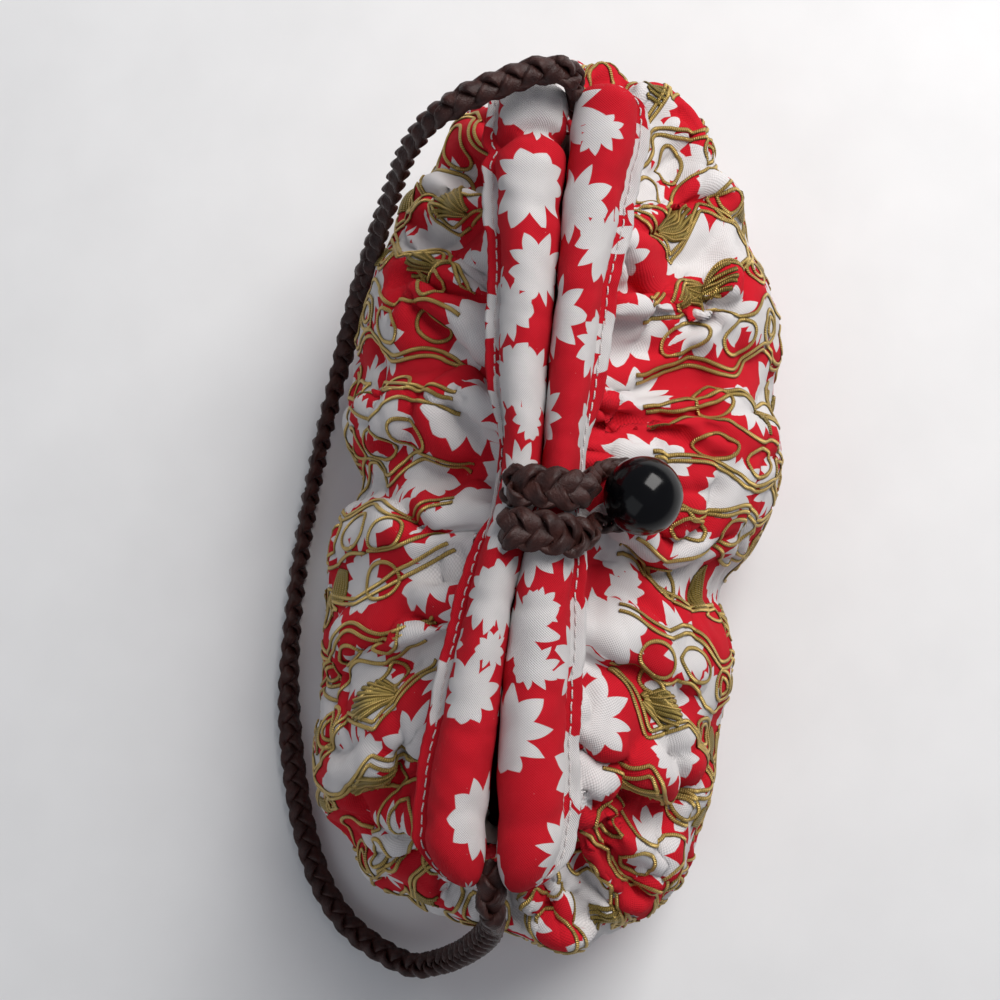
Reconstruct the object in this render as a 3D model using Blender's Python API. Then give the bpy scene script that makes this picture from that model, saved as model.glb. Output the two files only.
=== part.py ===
"""A gathered cloth frame clutch standing on its base, in metres, +Z up.

+X runs along the mouth, the ball button is on the -Y front, and the carrying strap falls to the +Y back.
The pouch is a thin-walled cloth shell gathered into a narrow mouth. Two padded casings lie along the mouth,
one on each side. A braided leather loop holds them together over a ball button, and a braided leather
strap runs from one end of the mouth to the other.
"""

import math

import bmesh
import bpy
import numpy as np
from mathutils import Vector
from mathutils.bvhtree import BVHTree

# Pouch
POUCH_HALF_LENGTH = 0.140
POUCH_HALF_WIDTH = 0.0665
MOUTH_HEIGHT = 0.117
MOUTH_HALF_LENGTH = 0.104
CLOTH_WALL = 0.002
PLAN_SQUARENESS = 2.6
FOLD_DEPTH = 0.0125
CREASE_SINK = 0.0075
PUFF_HEIGHT = 0.0022
MOUTH_ROUNDNESS = 0.6
STEPS_AROUND = 108
SEAT_GAP = 0.0003

# Casings of the frame
CASING_HALF_LENGTH = 0.1145
CASING_SHIFT = 0.0035
CASING_END_ROUND = 0.0065
CASING_HALF_HEIGHT = 0.0097
CASING_HALF_WIDTH = 0.0096
MOUTH_BOW = 0.0058
HEM_WIDTH = 0.0042
HEM_TURN = 328
HEM_SPREAD = 13
CASING_STEPS = 32
CASING_SIDES = 16

# Closure
CORD_WIDTH = 0.0118
CORD_THICKNESS = 0.0048
CORD_CLEARANCE = 0.0006
EYE_CLEARANCE = 0.0015
LOOP_SHIFT = -0.0070
EYE_RADIUS = 0.0085
BALL_RADIUS = 0.0113
BALL_FORWARD = 0.0222
BALL_SIDE = 0.0020
EYE_SQUEEZE = 0.60
EYE_TURNS = (-20, 200)
SHANK_RADIUS = 0.0026
LOOP_POINTS = 72
CORD_SIDES = 10

# Strap, with the inner end, outer end and top of each flat tab
STRAP_DIAMETER = 0.009
STRAP_POINTS = 64
CURVE_STEPS = 24
TAB_LIFT = 0.0006
TAB_ROUNDING = 0.25
RIGHT_TAB = (0.1080, 0.1182, 0.1452)
LEFT_TAB = (-0.0985, -0.1114, 0.1330)

# Colours as linear red, green and blue
CLOTH_RED = (0.62, 0.03, 0.05)
LEATHER_BROWN = (0.035, 0.014, 0.013)
GLOSS_BLACK = (0.004, 0.004, 0.005)

# Height is a share of MOUTH_HEIGHT, length and width are shares of the pouch's half sizes, and gather is the
# share of FOLD_DEPTH that the creases have there. Pull takes the outline from the pouch's, at 0, to the mouth's,
# at 1, where the outline follows the casings instead.
POUCH_SECTIONS = (
    # height, length, width, gather, pull
    (0.000, 0.30, 0.30, 0.00, 0.00),
    (0.000, 0.62, 0.60, 0.00, 0.00),
    (0.000, 0.88, 0.84, 0.02, 0.00),
    (0.045, 0.955, 0.94, 0.08, 0.00),
    (0.140, 0.99, 0.985, 0.20, 0.00),
    (0.260, 1.00, 1.00, 0.32, 0.00),
    (0.400, 1.00, 1.00, 0.46, 0.02),
    (0.540, 0.99, 0.975, 0.62, 0.05),
    (0.670, 0.965, 0.915, 0.80, 0.10),
    (0.780, 0.925, 0.82, 0.95, 0.20),
    (0.865, 0.88, 0.69, 1.00, 0.35),
    (0.925, 0.84, 0.54, 0.92, 0.52),
    (0.965, 0.80, 0.39, 0.66, 0.72),
    (0.985, 0.77, 0.26, 0.36, 0.90),
    (0.992, 0.75, 0.15, 0.10, 1.00),
)

# How far the plan reaches, as a share of the pouch's half sizes, by direction in degrees from +X.
POUCH_LOBES = (
    # direction, reach
    (0, 1.065),
    (38, 1.010),
    (64, 1.040),
    (78, 1.030),
    (98, 1.045),
    (108, 1.085),
    (124, 1.110),
    (136, 1.040),
    (150, 0.965),
    (165, 0.925),
    (180, 0.930),
    (198, 0.985),
    (218, 1.005),
    (232, 1.030),
    (248, 0.960),
    (262, 0.940),
    (278, 1.115),
    (290, 1.115),
    (306, 1.070),
    (322, 1.050),
    (344, 1.070),
)

# Creases that run down from the mouth between the puffs. Place is the share of the half length where each
# one starts. Depth is a share of FOLD_DEPTH, width is in degrees round the plan, slant is in degrees from
# mouth to base, and reach is the share of the gather that is left low on the side.
BACK_CREASES = (
    # place, depth, width, slant, reach
    (0.93, 0.75, 5.5, -5, 0.20),
    (0.76, 0.95, 4.6, 3, 0.35),
    (0.55, 0.80, 4.2, -4, 0.25),
    (0.33, 0.95, 4.4, 5, 0.30),
    (0.04, 1.30, 5.0, 0, 1.00),
    (-0.21, 0.80, 4.4, 4, 0.20),
    (-0.44, 1.05, 4.6, -5, 0.45),
    (-0.66, 0.90, 4.6, 4, 0.30),
    (-0.86, 0.70, 7.0, 2, 0.15),
)
FRONT_CREASES = (
    # place, depth, width, slant, reach
    (0.95, 0.70, 5.5, 5, 0.20),
    (0.79, 0.90, 4.6, -4, 0.30),
    (0.58, 0.85, 4.2, 4, 0.30),
    (0.34, 1.00, 4.6, -5, 0.40),
    (-0.22, 1.10, 5.4, 6, 0.80),
    (-0.45, 0.90, 4.4, -4, 0.25),
    (-0.66, 1.00, 4.6, 5, 0.35),
    (-0.87, 0.80, 5.5, -5, 0.25),
)

# Stations of the two casings, from the -X end to the +X end. Place is a share of CASING_HALF_LENGTH, girth of
# CASING_HALF_WIDTH and height of CASING_HALF_HEIGHT. Bow is a share of MOUTH_BOW towards +Y, and parting the
# share of CASING_HALF_WIDTH that the casings stand apart. Hem is a share of HEM_WIDTH.
CASING_STATIONS = (
    # place, back_girth, front_girth, back_height, bow, parting, hem
    (-1.00, 0.78, 0.78, 0.92, 0.80, 0.52, 0.60),
    (-0.85, 0.84, 0.89, 1.00, 1.00, 0.42, 1.00),
    (-0.55, 0.74, 0.92, 1.00, 1.08, 0.10, 1.00),
    (-0.22, 0.60, 0.72, 0.98, 0.66, 0.08, 0.90),
    (-0.06, 0.54, 0.55, 0.97, 0.20, 0.07, 0.35),
    (0.06, 0.54, 0.54, 0.97, 0.10, 0.07, 0.35),
    (0.22, 0.66, 0.61, 0.98, 0.14, 0.08, 0.90),
    (0.47, 0.78, 0.67, 1.00, 0.14, 0.10, 1.00),
    (0.76, 0.97, 0.86, 1.02, 0.12, 0.16, 1.00),
    (0.87, 1.02, 0.94, 0.86, 0.12, 0.22, 1.00),
    (1.00, 1.04, 0.86, 0.96, 0.05, 0.32, 0.60),
)
PLACE, BACK_GIRTH, FRONT_GIRTH, BACK_HEIGHT, BOW, PARTING, HEM = range(7)

# Where each strand of the loop lies on the casings, in degrees up from a casing's outer side.
OVER_BACK = (2, 28, 55, 82)
OVER_FRONT = (82, 50)

# Where each strand passes the front casing's hem, and the share of its way in to the ball that it has gone.
PAST_HEM = (
    # turn, share
    (15, 0.25),
    (-28, 0.70),
)

# The strap's route, chosen by hand: over the +X end of the back casing, down the back to the floor, along the
# floor and round the -X end, and up to the mouth.
STRAP_ROUTE = (
    (0.1161, 0.0030, 0.1402),
    (0.1160, 0.0068, 0.1406),
    (0.1153, 0.0113, 0.1406),
    (0.1131, 0.0165, 0.1404),
    (0.1102, 0.0230, 0.1402),
    (0.1075, 0.0293, 0.1386),
    (0.1051, 0.0354, 0.1345),
    (0.1040, 0.0410, 0.1270),
    (0.1006, 0.0486, 0.1110),
    (0.0973, 0.0531, 0.0970),
    (0.0929, 0.0573, 0.0830),
    (0.0862, 0.0622, 0.0680),
    (0.0778, 0.0671, 0.0520),
    (0.0658, 0.0722, 0.0370),
    (0.0510, 0.0777, 0.0230),
    (0.0297, 0.0833, 0.0115),
    (0.0056, 0.0870, 0.0060),
    (-0.0183, 0.0887, 0.0053),
    (-0.0437, 0.0891, 0.0053),
    (-0.0687, 0.0876, 0.0053),
    (-0.0952, 0.0827, 0.0053),
    (-0.1154, 0.0767, 0.0053),
    (-0.1331, 0.0684, 0.0053),
    (-0.1451, 0.0579, 0.0060),
    (-0.1520, 0.0455, 0.0085),
    (-0.1547, 0.0341, 0.0140),
    (-0.1507, 0.0245, 0.0250),
    (-0.1445, 0.0168, 0.0420),
    (-0.1372, 0.0106, 0.0620),
    (-0.1297, 0.0060, 0.0820),
    (-0.1240, 0.0042, 0.0970),
    (-0.1215, 0.0038, 0.1080),
    (-0.1203, 0.0040, 0.1155),
    (-0.1188, 0.0041, 0.1198),
    (-0.1165, 0.0043, 0.1220),
)


def clear_scene():
    for obj in list(bpy.data.objects):
        bpy.data.objects.remove(obj, do_unlink=True)


def material(name, colour, roughness, metallic=0.0):
    made = bpy.data.materials.new(name)
    made.use_nodes = True
    shader = made.node_tree.nodes["Principled BSDF"]
    shader.inputs["Base Color"].default_value = (*colour, 1.0)
    shader.inputs["Roughness"].default_value = roughness
    shader.inputs["Metallic"].default_value = metallic
    return made


def smooth_between(at, stops, values):
    """The values at places between rising stops, on a curve with no overshoot at the ends."""
    at, stops, values = (np.asarray(a, float) for a in (at, stops, values))
    span = np.diff(stops)
    slope = np.diff(values) / span
    lean = np.concatenate([[slope[0]], (slope[:-1] + slope[1:]) / 2, [slope[-1]]])
    lean[1:-1] = np.where(slope[:-1] * slope[1:] <= 0, 0.0, lean[1:-1])
    at = np.clip(at, stops[0], stops[-1])
    i = np.clip(np.searchsorted(stops, at, side="right") - 1, 0, len(span) - 1)
    u = (at - stops[i]) / span[i]
    rise = values[i + 1] - values[i]
    cubic = u * u * (3 - 2 * u) * rise
    ends = u * (1 - u) * ((1 - u) * lean[i] - u * lean[i + 1]) * span[i]
    return values[i] + cubic + ends


def casing_column(column, x):
    table = np.array(CASING_STATIONS)
    place = (np.asarray(x) - CASING_SHIFT) / CASING_HALF_LENGTH
    return smooth_between(place, table[:, PLACE], table[:, column])


def bow_at(x):
    return MOUTH_BOW * casing_column(BOW, x)


def plan_reach(angle):
    """How far the plan reaches at each angle, as a share of the half sizes, joined smoothly all round."""
    table = np.array(POUCH_LOBES, float)
    stops = np.concatenate([table[-1:, 0] - 360, table[:, 0], table[:1, 0] + 360])
    reach = np.concatenate([table[-1:, 1], table[:, 1], table[:1, 1]])
    return smooth_between(np.degrees(angle) % 360, stops, reach)


def crease_depth(angle, gather, down):
    """How deep the creases are at each angle, as a share of FOLD_DEPTH, where down is 0 at the mouth."""
    total = np.zeros_like(angle)
    for side, creases in ((1, BACK_CREASES), (-1, FRONT_CREASES)):
        for place, depth, width, slant, reach in creases:
            middle = side * math.degrees(math.acos(place)) + slant * down
            away = (np.degrees(angle) - middle + 180) % 360 - 180
            strength = gather * (1 - down) + reach * gather**0.5 * down
            total += depth * strength * np.exp(-((away / width) ** 2))
    return total


def pouch_surface():
    """The outer surface as rings of points, from the base up to the mouth's rim."""
    angle = np.linspace(0, 2 * math.pi, STEPS_AROUND, endpoint=False)
    across, along = np.sin(angle), np.cos(angle)
    power = PLAN_SQUARENESS
    oblong = (np.abs(along) ** power + np.abs(across) ** power) ** (-1 / power) * plan_reach(angle)
    mouth_x = CASING_SHIFT + MOUTH_HALF_LENGTH * along
    rim_back, rim_front = casing_middle(1, mouth_x)[0], casing_middle(-1, mouth_x)[0]
    share = (1 + np.sign(across) * np.abs(across) ** MOUTH_ROUNDNESS) / 2
    mouth_y = rim_front + (rim_back - rim_front) * share
    rings = []
    for height, length, width, gather, pull in POUCH_SECTIONS:
        x = POUCH_HALF_LENGTH * length * oblong * along
        y = POUCH_HALF_WIDTH * width * oblong * across
        depth = crease_depth(angle, np.full_like(angle, gather), 1 - height)
        inward = FOLD_DEPTH * depth - PUFF_HEIGHT * gather
        keep = 1 - inward / np.hypot(x, y)
        x = x * keep * (1 - pull) + mouth_x * pull
        y = y * keep * (1 - pull) + mouth_y * pull
        sunk = CREASE_SINK * depth * 4 * pull * (1 - pull)
        rings.append(np.stack([x, y, MOUTH_HEIGHT * height - sunk], axis=1))
    return np.array(rings)


def new_object(name, mesh_data, finish):
    obj = bpy.data.objects.new(name, mesh_data)
    obj.data.materials.append(finish)
    bpy.context.scene.collection.objects.link(obj)
    return obj


def mesh_of_rings(name, rings, close_start=True, close_end=True):
    """Rings of equally many points, joined by faces, with a flat or pointed cap at either end."""
    count, around = len(rings), len(rings[0])
    points = [tuple(p) for ring in rings for p in ring]
    faces = []
    for i in range(count - 1):
        for j in range(around):
            k = (j + 1) % around
            faces.append((i * around + j, i * around + k, (i + 1) * around + k, (i + 1) * around + j))
    for closed, first, turn in ((close_start, 0, -1), (close_end, (count - 1) * around, 1)):
        if closed:
            middle = len(points)
            points.append(tuple(np.mean(points[first : first + around], axis=0)))
            for j in range(around):
                pair = (first + j, first + (j + 1) % around)[::turn]
                faces.append((*pair, middle))
    mesh = bpy.data.meshes.new(name)
    mesh.from_pydata(points, [], faces)
    mesh.shade_smooth()
    return mesh


def make_pouch(finish):
    mesh = mesh_of_rings("pouch", pouch_surface(), close_end=False)
    pouch = new_object("pouch", mesh, finish)
    wall = pouch.modifiers.new("cloth wall", "SOLIDIFY")
    wall.thickness = CLOTH_WALL
    wall.offset = -1
    return pouch


def rim_height():
    return MOUTH_HEIGHT * POUCH_SECTIONS[-1][0]


def casing_half_height(side, x):
    share = casing_column(BACK_HEIGHT, x) if side > 0 else np.ones_like(np.asarray(x, float))
    return CASING_HALF_HEIGHT * share


def casing_middle(side, x):
    """(y, z, half width) of a casing at x, where side is 1 for the back casing and -1 for the front one."""
    girth = CASING_HALF_WIDTH * casing_column(BACK_GIRTH if side > 0 else FRONT_GIRTH, x)
    apart = CASING_HALF_WIDTH * casing_column(PARTING, x) / 2
    y = bow_at(x) + side * (girth + apart)
    return y, rim_height() + SEAT_GAP + casing_half_height(side, x), girth


def make_casing(name, side, finish):
    """A padded tube of oval section with a sewn hem along its outer lower side and rounded ends."""
    places = np.sin(np.linspace(-math.pi / 2, math.pi / 2, CASING_STEPS + 2)[1:-1])
    turn = np.linspace(0, 2 * math.pi, CASING_SIDES, endpoint=False)
    # The hem is the oval's outer lower corner drawn out to a thin lip.
    lip = np.exp(-(((turn - math.radians(HEM_TURN)) / math.radians(HEM_SPREAD)) ** 2))
    rings = []
    for place in places[::side]:
        x = CASING_SHIFT + CASING_HALF_LENGTH * place
        y, z, half = casing_middle(side, x)
        tall = casing_half_height(side, x)
        from_end = CASING_HALF_LENGTH * (1 - abs(place)) / CASING_END_ROUND
        cap = math.sqrt(1 - (1 - min(1.0, from_end)) ** 2)
        across = cap * (half * np.cos(turn) + HEM_WIDTH * casing_column(HEM, x) * lip)
        upright = cap * tall * np.sin(turn)
        rings.append(np.stack([x + 0 * turn, y + side * across, z + upright], axis=1))
    return new_object(name, mesh_of_rings(name, np.array(rings)), finish)


def sweep(name, path, widths, thicknesses, outward, finish):
    """An oval cord along a path. Widths lie across, thicknesses lie along the outward directions."""
    path = np.array(path)
    along = np.gradient(path, axis=0)
    along /= np.linalg.norm(along, axis=1)[:, None]
    out = np.array(outward, float)
    out -= (out * along).sum(1)[:, None] * along
    out /= np.linalg.norm(out, axis=1)[:, None]
    across = np.cross(out, along)
    turn = np.linspace(0, 2 * math.pi, CORD_SIDES, endpoint=False)
    rings = []
    for p, a, o, w, t in zip(path, across, out, widths, thicknesses):
        rings.append(p + np.outer(np.cos(turn) * w / 2, a) + np.outer(np.sin(turn) * t / 2, o))
    return new_object(name, mesh_of_rings(name, np.array(rings)), finish)


def curve_through(points, count):
    """Evenly spaced points on the centripetal Catmull-Rom curve through the given ones."""
    p = np.array(points, float)
    p = np.vstack([2 * p[0] - p[1], p, 2 * p[-1] - p[-2]])
    knots = np.concatenate([[0], np.cumsum(np.linalg.norm(np.diff(p, axis=0), axis=1) ** 0.5)])
    fine = []
    for i in range(1, len(p) - 2):
        t0, t1, t2, t3 = knots[i - 1 : i + 3]
        t = np.linspace(t1, t2, CURVE_STEPS, endpoint=False)[:, None]
        a1 = (t1 - t) / (t1 - t0) * p[i - 1] + (t - t0) / (t1 - t0) * p[i]
        a2 = (t2 - t) / (t2 - t1) * p[i] + (t - t1) / (t2 - t1) * p[i + 1]
        a3 = (t3 - t) / (t3 - t2) * p[i + 1] + (t - t2) / (t3 - t2) * p[i + 2]
        b1 = (t2 - t) / (t2 - t0) * a1 + (t - t0) / (t2 - t0) * a2
        b2 = (t3 - t) / (t3 - t1) * a2 + (t - t1) / (t3 - t1) * a3
        fine.append((t2 - t) / (t2 - t1) * b1 + (t - t1) / (t2 - t1) * b2)
    fine = np.vstack([*fine, p[-2:-1]])
    along = np.concatenate([[0], np.cumsum(np.linalg.norm(np.diff(fine, axis=0), axis=1))])
    at = np.linspace(0, along[-1], count)
    return np.stack([np.interp(at, along, fine[:, k]) for k in range(3)], axis=1)


def surface_of(obj):
    """A tree for finding where a line from above meets an object's outer surface."""
    graph = bpy.context.evaluated_depsgraph_get()
    return BVHTree.FromObject(obj, graph)


def top_of(tree, x, y):
    """(height, normal) of the highest surface over a place on the floor."""
    place, normal, _, _ = tree.ray_cast(Vector((x, y, 2 * MOUTH_HEIGHT)), Vector((0, 0, -1)))
    return (place.z, normal) if place else (0.0, Vector((0, 0, 1)))


def make_ball(pouch_tree, finish, leather):
    """The ball button and its short leather shank, which stands square to the cloth on the front."""
    y = bow_at(BALL_SIDE) - BALL_FORWARD
    height, lean = top_of(pouch_tree, BALL_SIDE, y)
    seat = Vector((BALL_SIDE, y, height))
    eye_lift = EYE_CLEARANCE + CORD_THICKNESS / 2
    touching = BALL_RADIUS + CORD_THICKNESS / 2 + SEAT_GAP
    ball_lift = eye_lift + math.sqrt(touching**2 - EYE_RADIUS**2)
    shank = ball_lift - BALL_RADIUS - 2 * SEAT_GAP
    post_mesh = bmesh.new()
    bmesh.ops.create_cone(
        post_mesh, cap_ends=True, segments=12, radius1=SHANK_RADIUS, radius2=SHANK_RADIUS, depth=shank
    )
    mesh = bpy.data.meshes.new("button_shank")
    post_mesh.to_mesh(mesh)
    post_mesh.free()
    post = new_object("button_shank", mesh, leather)
    post.location = seat + lean * (SEAT_GAP + shank / 2)
    post.rotation_euler = lean.to_track_quat("Z", "Y").to_euler()
    ball_mesh = bmesh.new()
    bmesh.ops.create_uvsphere(ball_mesh, u_segments=20, v_segments=12, radius=BALL_RADIUS)
    mesh = bpy.data.meshes.new("ball_button")
    ball_mesh.to_mesh(mesh)
    ball_mesh.free()
    mesh.shade_smooth()
    ball = new_object("ball_button", mesh, finish)
    ball.location = seat + lean * ball_lift
    ball.rotation_euler = post.rotation_euler
    return seat + lean * eye_lift, lean


def beside_casing(side, x, turn, lift):
    """A place lifted square off a casing's oval, turn degrees up from its outer side, and the way it faces."""
    y, z, half = casing_middle(side, x)
    tall = casing_half_height(side, x)
    out = Vector((math.cos(math.radians(turn)) / half, math.sin(math.radians(turn)) / tall)).normalized()
    place = (
        x,
        y + side * (half * math.cos(math.radians(turn)) + lift * out[0]),
        z + tall * math.sin(math.radians(turn)) + lift * out[1],
    )
    return place, (0.0, side * out[0], out[1])


def make_loop(eye, lean, leather):
    """The closing loop: out of the back casing's seam, over both casings, round the shank and back again."""
    lift = CORD_CLEARANCE + CORD_THICKNESS / 2
    half_way = CORD_WIDTH / 2 + SEAT_GAP
    sideways = Vector((0, 1, 0)).cross(lean).normalized()
    forward = sideways.cross(lean)
    ring = []
    for turn in np.radians(np.linspace(*EYE_TURNS, 9)):
        spot = eye + (sideways * math.cos(turn) + forward * math.sin(turn)) * EYE_RADIUS
        ring.append((tuple(spot), tuple(lean), CORD_THICKNESS))
    strands = []
    for x, meets in ((LOOP_SHIFT + half_way, ring[0][0]), (LOOP_SHIFT - half_way, ring[-1][0])):
        strand = [(*beside_casing(1, x, turn, lift), CORD_WIDTH) for turn in OVER_BACK]
        strand += [(*beside_casing(-1, x, turn, lift), CORD_WIDTH) for turn in OVER_FRONT]
        beyond_hem = lift + HEM_WIDTH * float(casing_column(HEM, x))
        for turn, share in PAST_HEM:
            across = x + (meets[0] - x) * share
            strand.append((*beside_casing(-1, across, turn, beyond_hem), CORD_WIDTH * EYE_SQUEEZE))
        strands.append(strand)
    stops = strands[0] + ring + strands[1][::-1]
    path = curve_through([spot for spot, _, _ in stops], LOOP_POINTS)
    nearest = [int(np.linalg.norm(path - np.array(spot), axis=1).argmin()) for spot, _, _ in stops]
    steps = np.arange(LOOP_POINTS)
    outs = np.array([out for _, out, _ in stops])
    outward = np.stack([np.interp(steps, nearest, outs[:, k]) for k in range(3)], axis=1)
    widths = np.interp(steps, nearest, [width for _, _, width in stops])
    sweep("closing_loop", path, widths, np.full(LOOP_POINTS, CORD_THICKNESS), outward, leather)


def make_tab(name, inner, outer, top, leather):
    """A flat end of the strap that stands between the casings, from x inner to x outer, up to the height top."""
    ends = np.array([inner, outer])
    gap = CASING_HALF_WIDTH * casing_column(PARTING, ends).min()
    foot = rim_height() + SEAT_GAP + TAB_LIFT
    slope = float(np.diff(bow_at(ends))[0]) / (outer - inner)
    shape = bmesh.new()
    bmesh.ops.create_cube(shape, size=1.0)
    bmesh.ops.scale(shape, vec=(abs(outer - inner), gap - 2 * SEAT_GAP, top - foot), verts=shape.verts)
    bmesh.ops.bevel(shape, geom=shape.edges[:], offset=gap * TAB_ROUNDING, segments=2, affect="EDGES")
    mesh = bpy.data.meshes.new(name)
    shape.to_mesh(mesh)
    shape.free()
    tab = new_object(name, mesh, leather)
    tab.location = (ends.mean(), bow_at(ends).mean(), (top + foot) / 2)
    tab.rotation_euler.z = math.atan(slope)


def make_strap(leather):
    points = curve_through(STRAP_ROUTE, STRAP_POINTS)
    curve = bpy.data.curves.new("strap", "CURVE")
    curve.dimensions = "3D"
    curve.bevel_depth = STRAP_DIAMETER / 2
    curve.bevel_resolution = 2
    curve.use_fill_caps = True
    spline = curve.splines.new("POLY")
    spline.points.add(len(points) - 1)
    spline.points.foreach_set("co", np.hstack([points, np.ones((len(points), 1))]).ravel())
    return new_object("strap", curve, leather)


def centre_on_base(pouch):
    """Moves everything so that the origin is at the middle of the pouch's box, on the floor."""
    graph = bpy.context.evaluated_depsgraph_get()
    corners = np.array([v.co for v in pouch.evaluated_get(graph).data.vertices])
    middle = (corners.min(0) + corners.max(0)) / 2
    shift = Vector((-middle[0], -middle[1], -corners.min(0)[2]))
    for obj in bpy.context.scene.objects:
        obj.location += shift


def main():
    clear_scene()
    cloth = material("printed cotton", CLOTH_RED, 0.85)
    leather = material("dark brown leather", LEATHER_BROWN, 0.45)
    gloss = material("black gloss", GLOSS_BLACK, 0.06)
    pouch = make_pouch(cloth)
    make_casing("casing_back", 1, cloth)
    make_casing("casing_front", -1, cloth)
    eye, lean = make_ball(surface_of(pouch), gloss, leather)
    make_loop(eye, lean, leather)
    make_tab("strap_tab_right", *RIGHT_TAB, leather)
    make_tab("strap_tab_left", *LEFT_TAB, leather)
    make_strap(leather)
    centre_on_base(pouch)


main()
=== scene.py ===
"""A gathered cloth frame clutch with printed cloth, couched gold cords and braided leather.

All places are in the row's frame, in metres: +X along the mouth, -Y towards the ball button, +Z up.
"""

import math

import bpy
import numpy as np
from mathutils import Matrix, Vector

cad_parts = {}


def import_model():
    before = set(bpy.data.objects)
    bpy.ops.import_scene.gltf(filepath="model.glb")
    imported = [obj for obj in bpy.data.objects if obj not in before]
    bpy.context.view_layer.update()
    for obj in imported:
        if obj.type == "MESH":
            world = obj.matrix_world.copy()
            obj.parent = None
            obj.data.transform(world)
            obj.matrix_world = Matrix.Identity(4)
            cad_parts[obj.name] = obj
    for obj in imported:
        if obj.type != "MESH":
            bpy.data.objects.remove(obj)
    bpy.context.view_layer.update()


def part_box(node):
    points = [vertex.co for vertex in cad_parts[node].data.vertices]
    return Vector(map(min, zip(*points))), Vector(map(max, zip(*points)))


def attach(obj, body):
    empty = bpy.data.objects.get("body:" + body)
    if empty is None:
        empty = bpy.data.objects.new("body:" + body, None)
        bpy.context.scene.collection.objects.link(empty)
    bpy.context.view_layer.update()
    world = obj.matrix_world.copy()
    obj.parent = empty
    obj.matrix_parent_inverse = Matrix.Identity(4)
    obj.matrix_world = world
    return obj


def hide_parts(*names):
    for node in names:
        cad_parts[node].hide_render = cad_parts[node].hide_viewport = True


# The tables below are measured from the middle of the mouth. MIDDLE takes them to the row's frame.
MIDDLE = np.array([-0.00704, 0.00230, 0.0])

# Pouch
POUCH_HALF_LENGTH = 0.140
POUCH_HALF_WIDTH = 0.0665
MOUTH_HEIGHT = 0.117
MOUTH_HALF_LENGTH = 0.104
MOUTH_ROUNDNESS = 0.6
PLAN_SQUARENESS = 2.6
FOLD_DEPTH = 0.0125
CREASE_SINK = 0.0075
PUFF_HEIGHT = 0.0022
CLOTH_COLUMNS = 320
CLOTH_ROWS = 74
CLOTH_GROWTH = 0.30
CLOTH_AIR = 0.25
CLOTH_STIFFNESS = 0.4
SETTLE_FRAMES = 26
SWELL_LIMIT = 0.0020
SINK_LIMIT = 0.010
GATHERS = 27
GATHER_DEPTH = 0.0086
CRUMPLE_DEPTH = 0.0052
LINING_GAP = 0.0026
LINING_ROW_STEP = 6
LINING_COLUMN_STEP = 8
FIRM_EDGE = 0.035
BINDING_HEIGHT = 0.0026
FLOOR_GAP = 0.0002

# Casings of the frame
CASING_HALF_LENGTH = 0.1145
CASING_SHIFT = 0.0035
CASING_END_ROUND = {1: 0.0065, -1: 0.0150}
CASING_END_DRAW = 0.0032
CASING_HALF_HEIGHT = 0.0097
CASING_HALF_WIDTH = 0.0096
CASING_SEAT = 0.0003
MOUTH_BOW = 0.0058
HEM_WIDTH = 0.0042
HEM_TOP_TURN = -6
HEM_FOOT_TURN = -17
STITCH_PITCH = 0.0034
STITCH_COLUMN = -3
CASING_PLUMPNESS = 1.05
CASING_TIP_SIZE = 0.03

# Folds across each casing, where side 1 is the back one and -1 the front one
CASING_FOLDS = {
    # at, depth as a share of the girth, width, slant
    1: (
        (0.0985, 0.34, 0.0022, 0.0035),
        (0.083, 0.05, 0.0030, -0.004),
        (0.052, 0.04, 0.0018, -0.005),
        (0.020, 0.06, 0.0025, 0.003),
        (-0.036, 0.04, 0.0020, 0.004),
        (-0.066, 0.03, 0.0016, -0.003),
        (-0.094, 0.08, 0.0030, 0.004),
    ),
    -1: (
        (0.086, 0.06, 0.0030, 0.004),
        (0.058, 0.05, 0.0025, -0.004),
        (0.033, 0.03, 0.0016, 0.003),
        (0.012, 0.05, 0.0020, 0.002),
        (-0.030, 0.05, 0.0022, -0.004),
        (-0.058, 0.03, 0.0018, 0.003),
        (-0.088, 0.07, 0.0030, -0.005),
    ),
}

# Leather
STRAP_WIDTH = 0.0096
STRAP_PITCH = 0.0205
STRAND_WIDTH = 0.0052
STRAND_THICKNESS = 0.0018
LOOP_PITCH = 0.0190
LOOP_HUG = 0.0085
LOOP_DRAW = 0.70
LOOP_FULLNESS = 1.12
STRAND_BANK = math.radians(67.6)
NECK_LEAN = (-0.0744, -0.4849, 0.8714)
TIP_SIZE = 0.05

# Threads and print, in metres, and a full turn for the sines in materials
FULL_TURN = 6.283
PRINT_EDGE = 0.0003
WEAVE_PITCH = 0.00068
LINING_PITCH = 0.0006
GOLD_THREAD_PITCH = 0.00068
SEWING_TWIST = 0.0006

# Couched cords: how wide and how high each kind is in metres, then the repeat's own measures in millimetres
GOLD_CORD = (0.0014, 0.0008)
SATIN_CORD = (0.0016, 0.0008)
RIB_CORD = (0.0007, 0.0008)
CORD_LIFT = 0.00030
RIB_LIFT = 0.00065
REPEATS = 8
REPEAT_WIDTH = 88
CORD_SPACING = 1.9

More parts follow.
